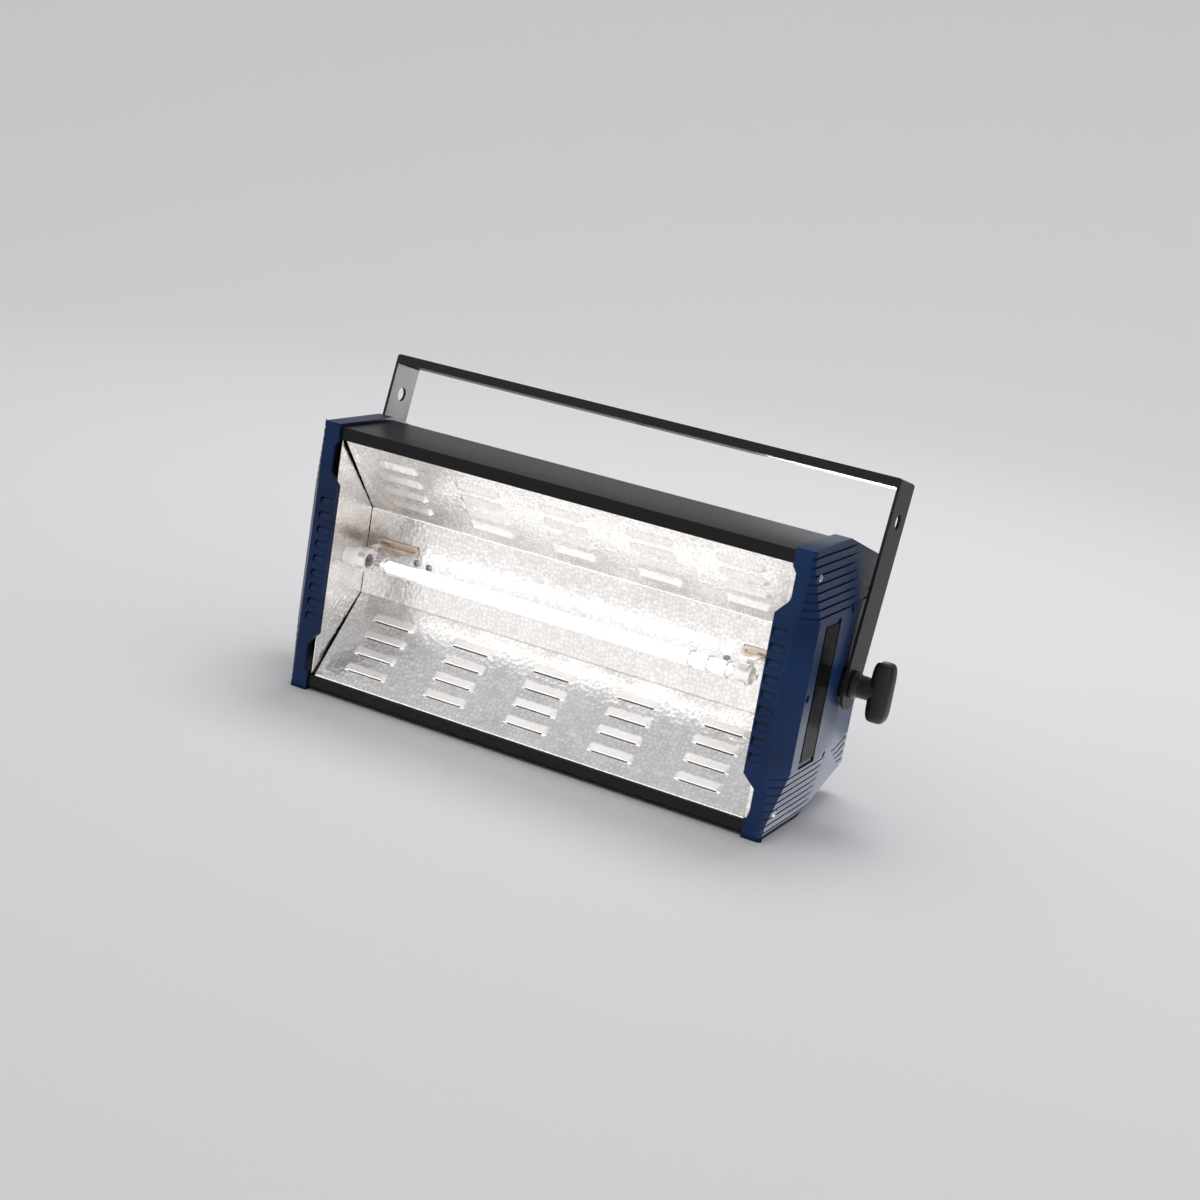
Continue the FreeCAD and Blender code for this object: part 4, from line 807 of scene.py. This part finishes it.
def studio():
    """A round floor that curves up into a low wall on every side.

    The profile is level out to the bend, follows a quarter circle and ends
    upright; it is turned about Z.
    """
    bend, bend_start, wall_top = 1500.0, 2000.0, 1600.0
    steps = 97
    turn = np.linspace(0, np.pi / 2, 24)
    profile = [(0, 0), (300, 0), (1500, 0)]
    profile += [(bend_start + bend * math.sin(a), bend * (1 - math.cos(a))) for a in turn]
    profile += [(bend_start + bend, wall_top)]
    radius, height = np.array(profile).T
    around = np.linspace(0, 2 * np.pi, steps)
    x = radius[:, None] * np.cos(around)
    y = radius[:, None] * np.sin(around)
    z = height[:, None] * np.ones_like(x)
    mesh = bpy.data.meshes.new("studio_floor")
    mesh.from_pydata((np.stack([x, y, z], -1).reshape(-1, 3) / 1000).tolist(), [],
                     quads(len(profile), steps).tolist())
    weld(mesh, 1e-5, outward=True)
    mesh.polygons.foreach_set("use_smooth", np.ones(len(mesh.polygons), bool))
    mesh.materials.append(FLOOR)
    made = stand("studio_floor", mesh)
    return made


def soft_box(name, centre, target, size, brightness, tint):
    """A flat light at centre that faces target, both in metres, evenly this bright."""
    data = bpy.data.lights.new(name, "AREA")
    data.shape = "RECTANGLE"
    data.size, data.size_y = size
    data.energy = WATTS * size[0] * size[1] * brightness
    data.color = colour(tint)[:3]
    made = stand(name, data)
    made.location = centre
    made.rotation_euler = (Vector(target) - Vector(centre)).to_track_quat("-Z", "Y").to_euler()
    made.visible_camera = False
    return made


def flag(lamp, floor):
    """Keeps a light off the floor, as a black card on a stand does."""
    shaded = bpy.data.collections.new(lamp.name + "_flag")
    shaded.objects.link(floor)
    shaded.collection_objects[0].light_linking.link_state = "EXCLUDE"
    lamp.light_linking.receiver_collection = shaded


WATTS = 4.0  # per square metre of soft box and unit of brightness
WHITE, WARM, WARMER, WARMEST = "#ffffff", "#fffcf8", "#fff9f3", "#fff8f2"
FLAGGED_LIGHTS = (  # name, centre, target, size, brightness and tint, kept off the floor
    ("front_wall", (-1.3, -2.3, 0.95), (0, 0, 0.5), (2.6, 1.9), 1.1, WARM),
    ("front_top", (-1.3, -2.3, 1.35), (0, 0, 0.2), (2.6, 0.8), 1.1, WARM),
    ("right_wall", (1.6, -2.1, 0.8), (0, 0, 0.4), (1.7, 1.6), 2.0, WARM),
    ("card_back", (0.025, 0.45, 0.165), (-0.25, 0.0, 0.24), (0.22, 0.1), 19.0, WHITE),
)
OPEN_LIGHTS = (  # the same, falling on the floor too
    ("overhead", (0.0, 0.85, 2.35), (0.0, 0.8, 0), (1.2, 1.0), 4.6, WHITE),
    ("table_front", (-0.1, -0.47, 0.004), (-0.1, -0.47, 1.0), (1.1, 0.9), 0.38, WARMER),
    ("table_corner", (0.3, -0.62, 0.005), (0.3, -0.62, 1.0), (0.5, 0.6), 0.2, WARMEST),
    ("table_right", (0.33, 0.06, 0.004), (0.33, 0.06, 1.0), (0.24, 0.3), 1.4, WHITE),
)


def light_studio(floor):
    """Pale air all round, large soft boxes in front, one overhead, one behind for the
    left end, and low ones for the glow that a bright table throws up."""
    world = bpy.data.worlds.new("studio_air")
    world.use_nodes = True
    air = world.node_tree.nodes["Background"].inputs
    air["Color"].default_value = colour("#fbfbff")
    air["Strength"].default_value = 0.6
    bpy.context.scene.world = world
    for light in FLAGGED_LIGHTS:
        flag(soft_box(*light), floor)
    for light in OPEN_LIGHTS:
        soft_box(*light)


def set_camera():
    """The camera stands at the front right, a little above, rolled clockwise."""
    data = bpy.data.cameras.new("camera")
    data.sensor_width = 36.0
    data.lens = 60.2
    data.shift_x, data.shift_y = -0.0078, -0.0007
    data.clip_start, data.clip_end = 0.05, 30.0
    right = Vector((0.87553, 0.45423, 0.16467))
    down = Vector((0.25696, -0.14913, -0.95485))
    forward = Vector((-0.40916, 0.87832, -0.24728))
    made = stand("camera", data)
    turn = Matrix((right, -down, -forward)).transposed()
    place = Matrix.Translation(metres(677.6, -1325.6, 408.8))
    made.matrix_world = place @ turn.to_4x4()
    bpy.context.scene.camera = made


bpy.context.scene.view_settings.view_transform = "Standard"
finish_nodes()
aluminium = FINISHES["hammered_aluminium"]
slanted_panel("hammered_top", "reflector_top", 1, aluminium, 3)
slanted_panel("hammered_bottom", "reflector_bottom", -1, aluminium, 11)
back_panel(aluminium, 31)
end_wall("hammered_left_end", "left_reflector_end", -1, 0, aluminium, 41)
end_wall("hammered_right_end", "right_reflector_end", 1, RIGHT_FLANGE, aluminium, 51)
arc_column(FROSTED)
for word, side in (("left", -1), ("right", 1)):
    clamp_knob(word + "_tee_knob", word + "_clamp_knob", side, word + "_knob",
               FINISHES["black_plastic"])
    cap_screw_set(word + "_screw_heads", word + "_cap_screws", side, FINISHES["zinc_screws"])
reflector_screws(FINISHES["zinc_screws"])
slot_packing("left_slot_packing", HOLDER_SLOTS[0], TOASTED)
slot_packing("right_slot_packing", HOLDER_SLOTS[1], FINISHES["insulator_ceramic"])
dial_pointer("rate_pointer", "rate_knob", "rate_dial", POINTER)
dial_pointer("level_pointer", "level_knob", "level_dial", POINTER)
light_studio(studio())
set_camera()
